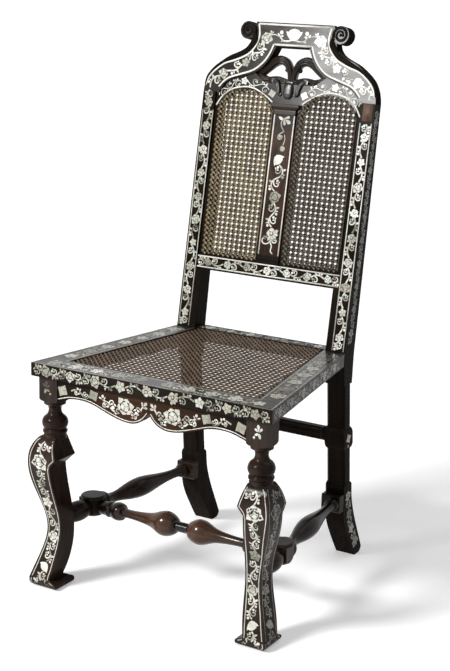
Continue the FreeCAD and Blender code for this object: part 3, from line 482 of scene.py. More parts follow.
def weave(name, points, pitch, width, reach, origin, across, up, finish, rows=True, slants=True):
    """A woven panel: sizes are in millimetres, and its rows or its slants can be left out."""
    out = across.cross(up).normalized()
    values = {"Pitch": pitch * MM, "Pair Gap": PAIR_GAP * pitch * MM, "Width": width * MM,
              "Thickness": STRAND_THICKNESS * MM, "Reach": reach * MM, "Rows": float(rows),
              "Slants": float(slants), "Origin": origin, "Across": across, "Up": up, "Out": out,
              "Finish": finish}
    return piece_from_tree(name, outline_mesh(name, points), CANE, values)


BACK_CANE_PITCH = 11.3
BACK_CANE_WIDTH = 2.7
BACK_CANE_REACH = 290.0
BACK_CANE_SQUASH = 0.925
BACK_CANE_RECESS = PANEL_RECESS - 1.1
ARCH_STEPS = 12
PANEL_MIDDLE_X = 94.5
PANEL_MIDDLE_RISE = 309.0
SEAT_CANE_PITCH = 12.0
SEAT_CANE_WIDTH = 2.15
SEAT_CANE_REACH = 340.0
SEAT_CANE_DROP = 1.9
SEAT_CANE_TAPER = 65.3


def arched_outline():
    """Outline of one back panel round its middle: a straight foot and sides and an arched top."""
    half = 65.5
    low = -153.0
    spring = 146.0
    crown = 192.0
    points = [(-half, low), (half, low)]
    for step in range(ARCH_STEPS + 1):
        angle = math.pi * step / ARCH_STEPS
        points.append((half * math.cos(angle), spring + (crown - spring) * math.sin(angle)))
    return [(x, y / BACK_CANE_SQUASH) for x, y in points]


for side, sign in (("left", -1), ("right", 1)):
    middle = back_place(sign * PANEL_MIDDLE_X, PANEL_MIDDLE_RISE, BACK_CANE_RECESS)
    woven = weave(side + "_back_weave", arched_outline(), BACK_CANE_PITCH, BACK_CANE_WIDTH, BACK_CANE_REACH,
                  middle, RIGHT, BACK_UP * BACK_CANE_SQUASH, back_canes[side])
    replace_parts(woven, side + "_back_cane")

seat_middle = (CANE_FRONT + CANE_REAR) / 2
half_depth = (CANE_REAR - CANE_FRONT) / 2 / MM
half_front = CANE_HALF_FRONT / MM
half_rear = half_front - SEAT_CANE_TAPER
seat_outline = [(-half_front, -half_depth), (half_front, -half_depth), (half_rear, half_depth),
                (-half_rear, half_depth)]
seat_place = Vector((0, seat_middle, SEAT_TOP - SEAT_CANE_DROP * MM))
for name, rows, slants in (("seat_weave_rows", True, False), ("seat_weave_slants", False, True)):
    woven = weave(name, seat_outline, SEAT_CANE_PITCH, SEAT_CANE_WIDTH, SEAT_CANE_REACH, seat_place, RIGHT,
                  REARWARD, seat_cane, rows, slants)
    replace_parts(woven, "seat_cane")


# Pearl inlay: cut shell motifs and stems, drawn on flat panels and laid onto the wood
PETAL_GAP = 0.008


def wedge(heading, half_angle, near, far, tip=0.04):
    """A petal between two circles round a flower's middle; tip is how far its end stands out."""
    inner = max(half_angle - PETAL_GAP / near, 0.05)
    outer = half_angle - PETAL_GAP / far
    corners = [(near, -inner), (0.9 * far, -0.96 * outer), (far * (1 + tip), 0.0), (0.9 * far, 0.96 * outer),
               (near, inner)]
    return [(radius * math.cos(heading + angle), radius * math.sin(heading + angle))
            for radius, angle in corners]


def fan(*petals):
    """Petals given as (heading, half angle, near, far, tip); one off the middle line comes as a pair."""
    shapes = []
    for heading, *sizes in petals:
        shapes.append(wedge(heading, *sizes))
        if 0.01 < heading < 3.1:
            shapes.append(wedge(-heading, *sizes))
    return shapes


def disc(radius, count=6, x=0.0):
    turns = [2 * math.pi * (place + 0.5) / count for place in range(count)]
    return [(x + radius * math.cos(turn), radius * math.sin(turn)) for turn in turns]


def pair(*outline):
    """An outline above the middle line and its mirror image, both drawn anticlockwise."""
    return [list(outline), [(x, -y) for x, y in outline[::-1]]]


BLOSSOM_PETAL = (0.6, 0.19, 0.43, 0.26)
MOTIFS = {
    "blossom": fan(*[(heading, *BLOSSOM_PETAL) for heading in (0.0, 1.257, 2.513)]) + [disc(0.16)],
    "bud": [disc(0.27, 8, 0.64)] + pair((0.0, 0.03), (0.33, 0.17), (0.36, 0.52), (0.1, 0.36)),
    "carnation": fan((0.0, 0.29, 0.2, 0.56, 0.06), (0.6, 0.29, 0.2, 0.58, 0.08), (1.2, 0.29, 0.2, 0.6, 0.14),
                     (2.32, 0.78, 0.2, 0.44)) + [disc(0.13)],
    "dot": [disc(0.5, 8)],
    "leaf": pair((0.0, 0.012), (1.0, 0.012), (0.8, 0.14), (0.5, 0.26), (0.2, 0.2)),
    "plaque": pair((-0.52, 0.01), (0.5, 0.01), (0.52, 0.5), (0.0, 0.46), (-0.5, 0.52)),
    "rose": fan((math.pi, 0.56, 0.36, 0.49), (2.06, 0.48, 0.36, 0.51), (1.06, 0.5, 0.36, 0.54, 0.2),
                (0.0, 0.54, 0.36, 0.49), (0.0, 1.03, 0.03, 0.31), (2.09, 1.03, 0.03, 0.31)),
    "sprig": fan((0.0, 0.3, 0.14, 0.9, 0.12), (0.78, 0.3, 0.14, 0.68, 0.12)),
    "tulip": [[(-0.36, -0.14), (-0.2, -0.34), (0.0, -0.5), (0.25, -0.61), (0.2, -0.44), (0.34, -0.31),
               (0.42, 0.0), (0.34, 0.31), (0.2, 0.44), (0.25, 0.61), (0.0, 0.5), (-0.2, 0.34),
               (-0.36, 0.14)]],
}
KINDS = sorted(MOTIFS)


def motif_collection():
    group = bpy.data.collections.new("shell_motifs")
    for kind in KINDS:
        mesh = bpy.data.meshes.new(kind)
        corners = [(x, y, 0.0) for outline in MOTIFS[kind] for x, y in outline]
        faces = []
        for outline in MOTIFS[kind]:
            start = sum(len(face) for face in faces)
            faces.append(list(range(start, start + len(outline))))
        mesh.from_pydata(corners, [], faces)
        group.objects.link(bpy.data.objects.new(kind, mesh))
    return group


SHELL_MOTIFS = motif_collection()
MERGE_DISTANCE = 0.002
MARKS = (("kind", "INT"), ("turn", "FLOAT"), ("size", "FLOAT"), ("shade", "FLOAT"))


def joined_shapes(tree, *shapes):
    joined = add(tree, "GeometryNodeJoinGeometry")
    for shape in shapes:
        tree.links.new(shape, joined.inputs[0])
    return joined.outputs[0]


def inlay_tree():
    """Sets a motif on each loose point, makes each drawn line a strip, and lays both on the wood."""
    tree, given, result = geometry_tree("pearl_inlay", [
        ("Motifs", "Collection"), ("Surface", "Object"), ("Curved", "Bool"), ("Origin", "Vector"),
        ("Across", "Vector"), ("Up", "Vector"), ("Out", "Vector"), ("Reach", "Float"), ("Lift", "Float"),
        ("Depth", "Float"), ("Finish", "Material")])
    kind, turn, size = [geo(tree, "InputNamedAttribute", {"Name": label}, data_type=data)
                        for label, data in MARKS[:3]]
    shapes = geo(tree, "CollectionInfo", {"Collection": given["Motifs"], "Separate Children": True,
                                          "Reset Children": True})
    flowers = geo(tree, "InstanceOnPoints", {
        "Points": given["Geometry"], "Selection": maths(tree, "GREATER_THAN", kind, -0.5), "Instance": shapes,
        "Pick Instance": True, "Instance Index": kind, "Rotation": turned(tree, turn),
        "Scale": xyz(tree, X=size, Y=size, Z=1.0)})
    flowers = geo(tree, "RealizeInstances", {"Geometry": flowers})
    stems = geo(tree, "MeshToCurve", {"Mesh": given["Geometry"]})
    stems = geo(tree, "SetCurveNormal", {"Curve": stems}, mode="Z_UP")
    width = geo(tree, "CurvePrimitiveLine", {"Start": (-0.5, 0, 0), "End": (0.5, 0, 0)})
    strips = geo(tree, "CurveToMesh", {"Curve": stems, "Profile Curve": width, "Scale": size})
    drawn = joined_shapes(tree, flowers, strips)
    x, y = [maths(tree, "MULTIPLY", part, MM) for part in split_place(tree)[:2]]
    flat = geo(tree, "SetPosition", {"Geometry": drawn, "Position": plane_place(tree, given, x, y)})
    place = geo(tree, "InputPosition")
    wood_shape = add(tree, "GeometryNodeObjectInfo", {"Object": given["Surface"]}).outputs["Geometry"]
    met = add(tree, "GeometryNodeRaycast", {
        "Target Geometry": wood_shape,
        "Source Position": vectors(tree, "ADD", place, scaled(tree, given["Out"], given["Reach"])),
        "Ray Direction": scaled(tree, given["Out"], -1.0),
        "Ray Length": maths(tree, "MULTIPLY", given["Reach"], 2.0)}).outputs
    missed = logic(tree, "AND", logic(tree, "NOT", met["Is Hit"]), given["Curved"])
    on_wood = geo(tree, "Switch", {"Switch": given["Curved"], "False": place, "True": met["Hit Position"]},
                  input_type="VECTOR")
    sinking = maths(tree, "SUBTRACT", given["Lift"], given["Depth"])
    sunk = vectors(tree, "ADD", on_wood, scaled(tree, given["Out"], sinking))
    kept = geo(tree, "DeleteGeometry", {"Geometry": flat, "Selection": missed}, domain="POINT")
    under = geo(tree, "SetPosition", {"Geometry": kept, "Position": sunk})
    raised = geo(tree, "ExtrudeMesh", {"Mesh": under, "Offset": given["Out"], "Offset Scale": given["Depth"],
                                       "Individual": False}, mode="FACES")
    plates = joined_shapes(tree, raised, geo(tree, "FlipFaces", {"Mesh": under}))
    closed = geo(tree, "MergeByDistance", {"Geometry": plates, "Distance": MERGE_DISTANCE * MM})
    end_tree(tree, closed, given["Finish"], result)
    return tree


INLAY = inlay_tree()
INLAY_REACH = 60
INLAY_PROUD = 0.12
INLAY_DEPTH = 0.5
STEM_WIDTH = 2.5
STRING_WIDTH = 2.6
THIN_STRING_WIDTH = STRING_WIDTH - 0.9
CREST_STRING_WIDTH = 3.8
SMOOTH_STEPS = 8
CURL_STEPS = 12
CURL_TURN = 3.9
EDGE_STEPS = 48
EDGE_START = 2.0
EDGE_SHORT = 3.0
THIN_STRING_DIMMING = -0.04
DULL_CHANCE = 0.24
DULL_DROP = 0.34
TONE_SPREAD = 0.15

# Proportions of a vine: lengths are in reaches, sizes in millimetres at a reach of 10
BEND_LENGTH = 2.2
BEND_SWING = 0.55
CURL_LENGTH = 2.1
CURL_BUD_SIZE = 8.5
BEND_BUD_SIZE = 9.0
BEND_LEAF_SIZE = 7.0
FLOWERS = ("rose", "rose", "blossom", "carnation")
FLOWER_SIZES = (0.88, 1.1)
FLOWER_TWIST = 0.8


def smooth(points, steps=SMOOTH_STEPS):
    """A rounded line through a few points."""
    line = []
    spans = len(points) - 1
    for span in range(spans):
        before, start, end, after = (Vector(points[min(max(span + k, 0), spans)]) for k in (-1, 0, 1, 2))
        for step in range(steps):
            t = step / steps
            pull = (end - before) * t + (2 * before - 5 * start + 4 * end - after) * t ** 2
            line.append(start + 0.5 * (pull + (3 * start - before - 3 * end + after) * t ** 3))
    line.append(Vector(points[-1]))
    return line


def slope(start, end):
    return math.atan2(end.y - start.y, end.x - start.x)


def leftward(heading):
    """The unit vector to the left of a heading."""
    return Vector((-math.sin(heading), math.cos(heading)))


class Route:
    """A rounded line that gives a place and a heading at a length along it."""

    def __init__(self, points):
        self.line = smooth(points)
        self.lengths = [0.0]
        for start, end in zip(self.line, self.line[1:]):
            self.lengths.append(self.lengths[-1] + (end - start).length)
        self.length = self.lengths[-1]

    def at(self, length):
        span = 0
        while span < len(self.line) - 2 and self.lengths[span + 1] < length:
            span += 1
        start, end = self.line[span], self.line[span + 1]
        share = (length - self.lengths[span]) / max(self.lengths[span + 1] - self.lengths[span], 1e-6)
        return start.lerp(end, share), slope(start, end)


class Panel:
    """A drawing board in millimetres, across and up from its origin; hand -1 mirrors what is drawn."""

    def __init__(self, name, origin, across, up, shade, surface=None, hand=1, seed=1, stem_width=STEM_WIDTH):
        self.name = name
        self.stem_width = stem_width
        self.plane = (origin, across, up)
        self.shade = shade
        self.surface = surface
        self.hand = hand
        self.dice = random.Random(seed)
        self.points = []
        self.edges = []
        self.marks = []

    def tone(self):
        dull = DULL_DROP if self.dice.random() < DULL_CHANCE else 0.0
        return self.shade - dull + self.dice.uniform(-TONE_SPREAD, TONE_SPREAD)

    def motif(self, kind, u, v, turn, size, tone=None):
        heading = turn if self.hand > 0 else math.pi - turn
        tone = self.tone() if tone is None else tone
        self.points.append((self.hand * u, v, 0.0))
        self.marks.append((KINDS.index(kind), heading, size, tone))

    def line(self, points, width, end_width=None, tone=None):
        last = len(points) - 1
        tone = self.tone() if tone is None else tone
        for place, point in enumerate(points):
            if place:
                self.edges.append((len(self.points) - 1, len(self.points)))
            here = width + ((end_width or width) - width) * place / last
            self.points.append((self.hand * point[0], point[1], 0.0))
            self.marks.append((-1, 0.0, here, tone))

    def stem(self, points, width=None, end_width=None):
        self.line(smooth(points), width or self.stem_width, end_width)

    def string(self, points, width=STRING_WIDTH, extra=0.12):
        """A border line, by default brighter than the panel's flowers."""
        self.line(points, width, tone=self.shade + extra)

    def build(self):
        mesh = bpy.data.meshes.new(self.name)
        mesh.from_pydata(self.points, self.edges, [])
        for place, (label, kind) in enumerate(MARKS):
            layer = mesh.attributes.new(label, kind, "POINT")
            layer.data.foreach_set("value", [mark[place] for mark in self.marks])
        origin, across, up = self.plane
        values = {"Motifs": SHELL_MOTIFS, "Curved": self.surface is not None, "Origin": origin,
                  "Across": across, "Up": up, "Out": across.cross(up), "Reach": INLAY_REACH * MM,
                  "Lift": INLAY_PROUD * MM, "Depth": INLAY_DEPTH * MM, "Finish": pearl}
        if self.surface:
            values["Surface"] = nodes[self.surface]
        return piece_from_tree(self.name, mesh, INLAY, values)


def curl(panel, start, heading, hand, length, bud_size):
    """A stem that winds up to one side and ends in a bud."""
    place = Vector(start)
    points = [place.copy()]
    for step in range(CURL_STEPS):
        share = (step + 0.5) / CURL_STEPS
        heading += hand * CURL_TURN / CURL_STEPS * (0.4 + 1.2 * share)
        stride = length / CURL_STEPS * (1.3 - 0.6 * share)
        place += stride * Vector((math.cos(heading), math.sin(heading)))
        points.append(place.copy())
    panel.line(points, panel.stem_width, 0.7 * panel.stem_width)
    panel.motif("bud", place.x, place.y, heading, bud_size)


def edge_string(panel, edge, inset):
    """A thin string along an edge, set in to the edge's left and a little short of its ends."""
    route = Route(edge)
    string = []
    for place in range(EDGE_STEPS + 1):
        point, heading = route.at(EDGE_START + (route.length - EDGE_SHORT) * place / EDGE_STEPS)
        string.append(point + inset * leftward(heading))
    panel.string(string, THIN_STRING_WIDTH, THIN_STRING_DIMMING)


def scroll(panel, route, start, end, reach, hand):
    """A bending stem along part of a route, with a curl, a bud and a leaf at each bend."""
    waves = max(1, round((end - start) / (BEND_LENGTH * reach)))
    bend = []
    for spot in range(5 * waves + 1):
        share = spot / (5 * waves)
        point, along = route.at(start + share * (end - start))
        swing = hand * BEND_SWING * reach * math.sin(math.pi * waves * share)
        bend.append(point + swing * leftward(along))
    panel.stem(bend)
    small = (reach / 10.0 * panel.stem_width / STEM_WIDTH) ** 0.5
    for wave in range(waves):
        one, two, three, four = bend[5 * wave + 1:5 * wave + 5]
        curl(panel, one, slope(one, two) - 0.3 * hand, -hand, CURL_LENGTH * reach, CURL_BUD_SIZE * small)
        panel.motif("bud", three.x, three.y, slope(three, four) + 0.9 * hand, BEND_BUD_SIZE * small)
        panel.motif("leaf", two.x, two.y, slope(two, three) + 1.9 * hand, BEND_LEAF_SIZE * small)
        hand = -hand
    return hand


def vine(panel, stops, reach, hand=1):
    """A running vine through stops (across, up), of which some give a flower's kind and size too."""
    route = Route([stop[:2] for stop in stops])
    start = 0.0
    for place, stop in enumerate(stops):
        if len(stop) > 2:
            kind, size = stop[2:]
            length = route.lengths[SMOOTH_STEPS * place]
            centre, heading = route.at(length)
            twist = hand * panel.dice.uniform(0.0, FLOWER_TWIST)
            panel.motif(kind, centre.x, centre.y, heading + twist, size)
            if length - 0.5 * size - start > reach:
                hand = scroll(panel, route, start, length - 0.5 * size, reach, hand)
            start = length + 0.5 * size
    if route.length - start > reach:
        scroll(panel, route, start, route.length, reach, hand)


def even_vine(panel, path, period, size, reach):
    """A vine with flowers at even steps along a path."""
    route = Route(path)
    count = max(1, round(route.length / period))
    stops = []
    for place in range(2 * count + 1):
        point = route.at(route.length * place / (2 * count))[0]
        flower = ()
        if place % 2:
            kind = FLOWERS[panel.dice.randrange(len(FLOWERS))]
            flower = (kind, size * panel.dice.uniform(*FLOWER_SIZES))
        stops.append((point.x, point.y, *flower))
    vine(panel, stops, reach)


def back_panel(name, shade, seed, stem_width, depth=0.0, hand=1):
    return Panel(name, back_place(0, 0, depth), RIGHT, BACK_UP, shade, None, hand, seed, stem_width)


def build_mirrored(panel, draw):
    """Draws on both halves of a panel and builds it."""
    for hand in (1, -1):
        panel.hand = hand
        draw(panel)
    panel.build()


CREST_OUTER_STRING = [(83, 632), (79, 609), (86, 587), (101, 570), (128, 557), (153, 549), (172.5, 535.4),
                      (186.5, 519.7), (193.5, 502.4)]
CREST_INNER_STRING = [(43.5, 592.4), (52.8, 570.5), (66, 553), (84.6, 539), (112, 529.4), (137, 521.3),
                      (151, 512), (161.5, 500.3)]


def crest_inlay():
    """Strings along the yoke, a tulip in its middle and a vine down each shoulder."""
    panel = back_panel("crest_inlay", shade=0.88, seed=3, stem_width=3.3)
    for x, v in (CREST_OUTER_STRING[0], CREST_INNER_STRING[0]):
        panel.string([(-x, v), (x, v)], CREST_STRING_WIDTH)
    panel.motif("tulip", 0, 612.5, math.pi / 2, 31, 0.98)

    def half(board):
        for string in (CREST_OUTER_STRING, CREST_INNER_STRING):
            board.string(smooth(string), CREST_STRING_WIDTH)
        board.stem([(5, 602), (14, 600.5), (23, 601), (29, 606), (33, 611)])
        board.motif("bud", 32, 608, 1.9, 15)
        board.motif("leaf", 24, 602, -0.7, 6)
        board.stem([(34, 609), (43, 612), (52, 611)], 2.0)
        board.motif("sprig", 50, 612, 1.1, 9)
        vine(board, [(62, 604, "rose", 24), (70, 588), (77, 576), (90, 563), (104, 553, "blossom", 19),
                     (121, 545), (138, 538), (153.5, 528, "rose", 20), (171, 514), (182, 497)], 11.5, -1)

    build_mirrored(panel, half)


def stile_inlay(side, hand, top):
    panel = back_panel(side + "_stile_inlay", shade=0.75 + 0.1 * hand, hand=hand, seed=11 + hand,
                       stem_width=3.2)
    for x in (169, 193.3):
        panel.string([(x, 3), (x, 200), (x, 452)], STRING_WIDTH - 0.5, 0.0)
    even_vine(panel, [(181.5, top), (181, 250), (181.5, 6)], 48, 18.5, 10)
    panel.build()


def lower_rail_inlay():
    panel = back_panel("lower_rail_inlay", shade=0.8, seed=21, stem_width=3.0)
    for v in (128.9, 151.0):
        panel.string([(-165, v), (0, v), (165, v)])
    even_vine(panel, [(-164, 140), (0, 140), (164, 140)], 47, 16, 10.5)
    panel.build()


def splat_inlay():
    """A hooked sprig, a ring and a ball over three flowers, and a double scroll at the foot."""
    panel = back_panel("splat_inlay", shade=0.86, seed=31, stem_width=3.0)
    for x in (-22.7, 22.7):
        panel.string([(x, 172), (x, 300), (x, 454)])
    panel.stem([(3, 421), (-4, 431), (-5, 441), (1, 448)], 2.2, 4.0)
    panel.motif("leaf", -3, 445, 2.7, 11)
    panel.motif("sprig", -1, 447, -0.5, 19)
    panel.stem([(3, 421), (-3, 418), (-9, 412), (-8, 406), (-2, 406), (0, 411), (-4, 413)], 2.4, 2.4)
    panel.motif("dot", -5, 411, 0, 6)
    panel.stem([(5, 415), (7, 405), (4, 394)], 1.6)
    panel.motif("dot", 3.5, 387, 0, 12, 0.3)
    vine(panel, [(-3.5, 365, "tulip", 24), (4, 340), (-5, 315), (-1, 289, "rose", 24), (-2, 252),
                 (1.5, 216, "carnation", 25)], 12.5)
    curl(panel, (3, 204), -1.9, -1, 36, 9)
    curl(panel, (3, 203), -1.2, 1, 20, 9)
    panel.stem([(1, 198), (5, 190), (4, 180), (9, 175)], 3.0, 2.0)
    panel.build()


ARCH_STRING = [(165, 463), (154, 480.5), (141, 492), (128, 499.4), (103.5, 504.5), (84.6, 503.5), (70, 499),
               (49, 488), (34, 477.6)]


def arched_rail_inlay():
    panel = back_panel("arched_rail_inlay", shade=0.84, seed=41, stem_width=1.8, depth=PANEL_RECESS)

    def half(board):
        board.string(smooth(ARCH_STRING), STRING_WIDTH + 0.4)
        board.motif("plaque", 37, 495, 0.5, 13)
        vine(board, [(45, 501), (66, 509), (86, 514), (104, 516, "blossom", 16), (126, 509), (147, 498),
                     (160, 483)], 10.5)

    build_mirrored(panel, half)


SEAT_EDGE_MIDDLE = 13
SEAT_RAIL_FACE = 47.0
SEAT_LINE_WIDTH = 1.4


def seat_front_inlay():
    panel = Panel("seat_front_inlay", Vector((0, SEAT_FRONT, SEAT_UNDERSIDE)), RIGHT, UP, 0.58, seed=51,
                  stem_width=2.8)
    half = SEAT_HALF_FRONT / MM - 6
    even_vine(panel, [(x, SEAT_EDGE_MIDDLE) for x in (-half, 0, half)], 56, 21, 11)
    panel.build()


def seat_side_inlay(side, hand):
    """Duller vines along the seat's slanting side edges: their low tone is painted shade."""
    front = Vector((hand * SEAT_HALF_FRONT, SEAT_FRONT, SEAT_UNDERSIDE))
    rear = Vector((hand * HALF_BACK, BACK_FOOT.y, SEAT_UNDERSIDE))
    along = (rear - front).normalized() * hand
    panel = Panel(side + "_seat_side_inlay", front, along, UP, 0.1, hand=hand, seed=55 + hand)
    places = (8, 200, (rear - front).length / MM - 30)
    even_vine(panel, [(place, SEAT_EDGE_MIDDLE) for place in places], 60, 19, 10.5)
    panel.build()


def seat_top_inlay():
    """Worn vines and thin border strings round the seat's top."""
    panel = Panel("seat_top_inlay", Vector((0, SEAT_FRONT, SEAT_TOP)), RIGHT, REARWARD, 0.54, seed=61)
    front = SEAT_HALF_FRONT / MM
    rear = HALF_BACK / MM
    depth = (BACK_FOOT.y - SEAT_FRONT) / MM
    slant = (rear - front) / depth
    rail = SEAT_RAIL_FACE
    rear_rail = (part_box("back_seat_rail")[1].y - CANE_REAR) / MM
    rear_middle = (CANE_REAR - SEAT_FRONT) / MM + rear_rail / 2

    def half(board):
        for inset in (4.0, rail - 5.0):
            corner = (front - inset + slant * inset, inset)
            board.line([(0, inset), corner], SEAT_LINE_WIDTH)
            board.line([corner, (rear - inset, depth - 4)], SEAT_LINE_WIDTH)
        board.shade = 0.66
        even_vine(board, [(4, rail / 2), (120, rail / 2), (front - 16, rail / 2)], 46, 27, 16)
        board.shade = 0.42
        even_vine(board, [(front - 0.65 * rail, 1.2 * rail), (front - rail / 2 + 200 * slant, 200),
                          (rear - rail / 2, depth - 12)], 46, 27, 16)
        even_vine(board, [(4, rear_middle), (80, rear_middle), (150, rear_middle)], 48, 0.6 * rear_rail,
                  0.36 * rear_rail)

    build_mirrored(panel, half)


APRON_HALF = 208.7
APRON_CUSP = -31.0
APRON_LOBE = -57.0
APRON_END = -43.5


def apron_edge():
    """Half of the apron's lower edge, from its cusp to the leg."""
    rise = APRON_CUSP - APRON_LOBE
    shares = [(0.06, 0.42), (0.145, 0.06), (0.24, 0.0), (0.34, 0.13), (0.48, 0.46), (0.62, 0.82),
              (0.73, 0.93), (0.86, 0.85), (0.93, 0.7)]
    edge = [(0.0, APRON_CUSP)] + [(along * APRON_HALF, APRON_LOBE + up * rise) for along, up in shares]
    return edge + [(APRON_HALF, APRON_END)]


def apron_inlay():
    """A rose on each lobe with tendrils to both sides, and two plaques towards each leg."""
    panel = Panel("apron_inlay", Vector((0, APRON_FRONT, SEAT_UNDERSIDE)), RIGHT, UP, 0.9, seed=71,
                  stem_width=2.9)

    def half(board):
        edge_string(board, apron_edge(), 3.6)
        board.motif("rose", 53, -27, 1.9, 33, 0.66)
        board.stem([(39, -33), (31, -39), (22, -36), (16, -25), (11, -18)])
        curl(board, (32, -39), 3.3, 1, 13, 13)
        curl(board, (22, -36), 2.4, -1, 21, 14)
        board.motif("sprig", 14, -22, 2.3, 15)
        board.stem([(66, -36), (78, -40), (88, -32), (98, -24), (112, -19)])
        curl(board, (73, -39), -0.5, -1, 9, 12)
        curl(board, (86, -34), 0.9, 1, 24, 14)
        curl(board, (97, -25), -0.3, -1, 19, 13)
        board.motif("bud", 101, -22, 1.2, 11)
        board.motif("plaque", 125, -18, 0.25, 17, 0.5)
        board.stem([(135, -22), (145, -26), (155, -18), (165, -14), (177, -18)])
        curl(board, (145, -26), 0.6, 1, 18, 11)
        board.motif("sprig", 157, -18, 1.0, 11)
        curl(board, (164, -14), -0.5, -1, 16, 10)
        board.motif("plaque", 197, -21, -0.3, 18, 0.5)

    build_mirrored(panel, half)


LEG_X = 230.0
LEG_BEHIND_FRONT = 28.0
LEG_BLOCK_HALF = 21.3
LEG_BOARD_OFF = 30
LEG_OUTER_EDGE = [(29, 0.5), (35.5, 4), (38, 14), (25, 58.7), (12, 119), (25, 188.5), (38, 256.5),
                  (29.6, 296.6), (20.1, 309)]
LEG_VINE = [(4, 301), (9, 262, "rose", 32), (8, 215), (4, 176, "blossom", 24), (-3, 145),
            (-4, 104, "rose", 22), (0, 72), (6, 44, "tulip", 21), (10, 16)]


def leg_face(panel, ankle):
    """Border strings down both edges of a leg's face, and a vine between them."""
    calf = (ankle + 14) / 2
    instep = 9 + 0.35 * (ankle - 9)
    inner = [(-17, 307), (-22, 288), (-26.6, 271), (-25, 266), (-14.8, 255), (-14, 247), (-calf, 188.5),
             (-ankle, 119), (-instep, 40), (-9, 24), (-13, 18.5), (-21, 15)]
    edge_string(panel, LEG_OUTER_EDGE, 4.4)
    edge_string(panel, inner, 4.2)
    vine(panel, LEG_VINE, 10.5)
    for x, v, turn, size in ((-5, 287, 2.4, 12), (1, 10, 2.5, 15), (16, 11, 0.5, 14)):
        panel.motif("sprig", x, v, turn, size)
    panel.build()


def leg_inlay(side, hand):
    axis = Vector((hand * LEG_X * MM, SEAT_FRONT + LEG_BEHIND_FRONT * MM, 0))
    leg = side + "_front_leg"
    front = axis - REARWARD * (LEG_BOARD_OFF * MM)
    leg_face(Panel(side + "_leg_front_inlay", front, RIGHT, UP, 0.8, leg, hand, 81 + hand, 2.8), 21)
    outside = axis + RIGHT * (hand * LEG_BOARD_OFF * MM)
    # The leg's outer side gets a low tone for its inlay: painted shade.
    leg_face(Panel(side + "_leg_side_inlay", outside, REARWARD * hand, UP, 0.24, leg, -hand, 85 + hand), 31)
    block = Panel(side + "_block_inlay", axis - REARWARD * (LEG_BLOCK_HALF * MM), RIGHT, UP,
                  0.6 + 0.25 * hand, None, hand, 91 + hand)
    block.motif("sprig", 5, 407, 1.7, 15)
    block.motif("leaf", 5, 406, -1.3, 11)
    block.motif("leaf", 4, 405, -2.7, 9)
    block.motif("dot", -5, 397, 0, 4.5)
    block.build()


POST_DEPTH = 43.0
POST_TOP_DEPTH = 25.0
REAR_BLOCK_PROUD = 1.6


def post_side_inlay(side, hand):
    """Dull vines down a post's outer side and its foot, and a plaque on its middle block; the outer side's
    low tone is painted shade.
    """
    outer = RIGHT * (hand * HALF_BACK)
    stile = Panel(side + "_post_side_inlay", BACK_FOOT + outer, BACK_OUT * -hand, BACK_UP, 0.15, None, hand,
                  101 + hand)
    even_vine(stile, [(0.42 * POST_TOP_DEPTH, 478), (0.44 * (POST_DEPTH + POST_TOP_DEPTH) / 2, 240),
                      (0.44 * POST_DEPTH, 20)], 48, 16, 8.5)
    stile.build()
    foot = Panel(side + "_rear_foot_inlay", outer, REARWARD * hand, UP, 0.42, None, hand, 105 + hand)
    even_vine(foot, [(177, 166), (180, 140), (186, 107), (203, 62), (223, 27), (229, 12)], 42, 22, 12)
    foot.build()
    block = Panel(side + "_rear_block_inlay", outer + RIGHT * (hand * REAR_BLOCK_PROUD * MM), REARWARD * hand,
                  UP, 0.62, None, hand, 109 + hand)
    block.motif("plaque", 168, 271, 1.2, 15)
    block.motif("leaf", 168, 259, -1.7, 8)
    block.build()


crest_inlay()
lower_rail_inlay()
splat_inlay()
arched_rail_inlay()
seat_front_inlay()
seat_top_inlay()
apron_inlay()
for side, hand, stile_top in (("left", -1, 492), ("right", 1, 450)):
    stile_inlay(side, hand, stile_top)
    seat_side_inlay(side, hand)
    leg_inlay(side, hand)
    post_side_inlay(side, hand)


# Carved scrolls of the crest, in millimetres across, up the back and behind its front face
BAND_STEPS = 6
PLAIN_STEPS = 8
REEDED_STEPS = 20
REED_DEPTH = 0.09
BOSS_SIDES = 12


def value_along(values, share):
    """A value between evenly spaced ones, at a share of the way along them."""
    place = share * (len(values) - 1)
    low = min(int(place), len(values) - 2)
    return values[low] + (values[low + 1] - values[low]) * (place - low)


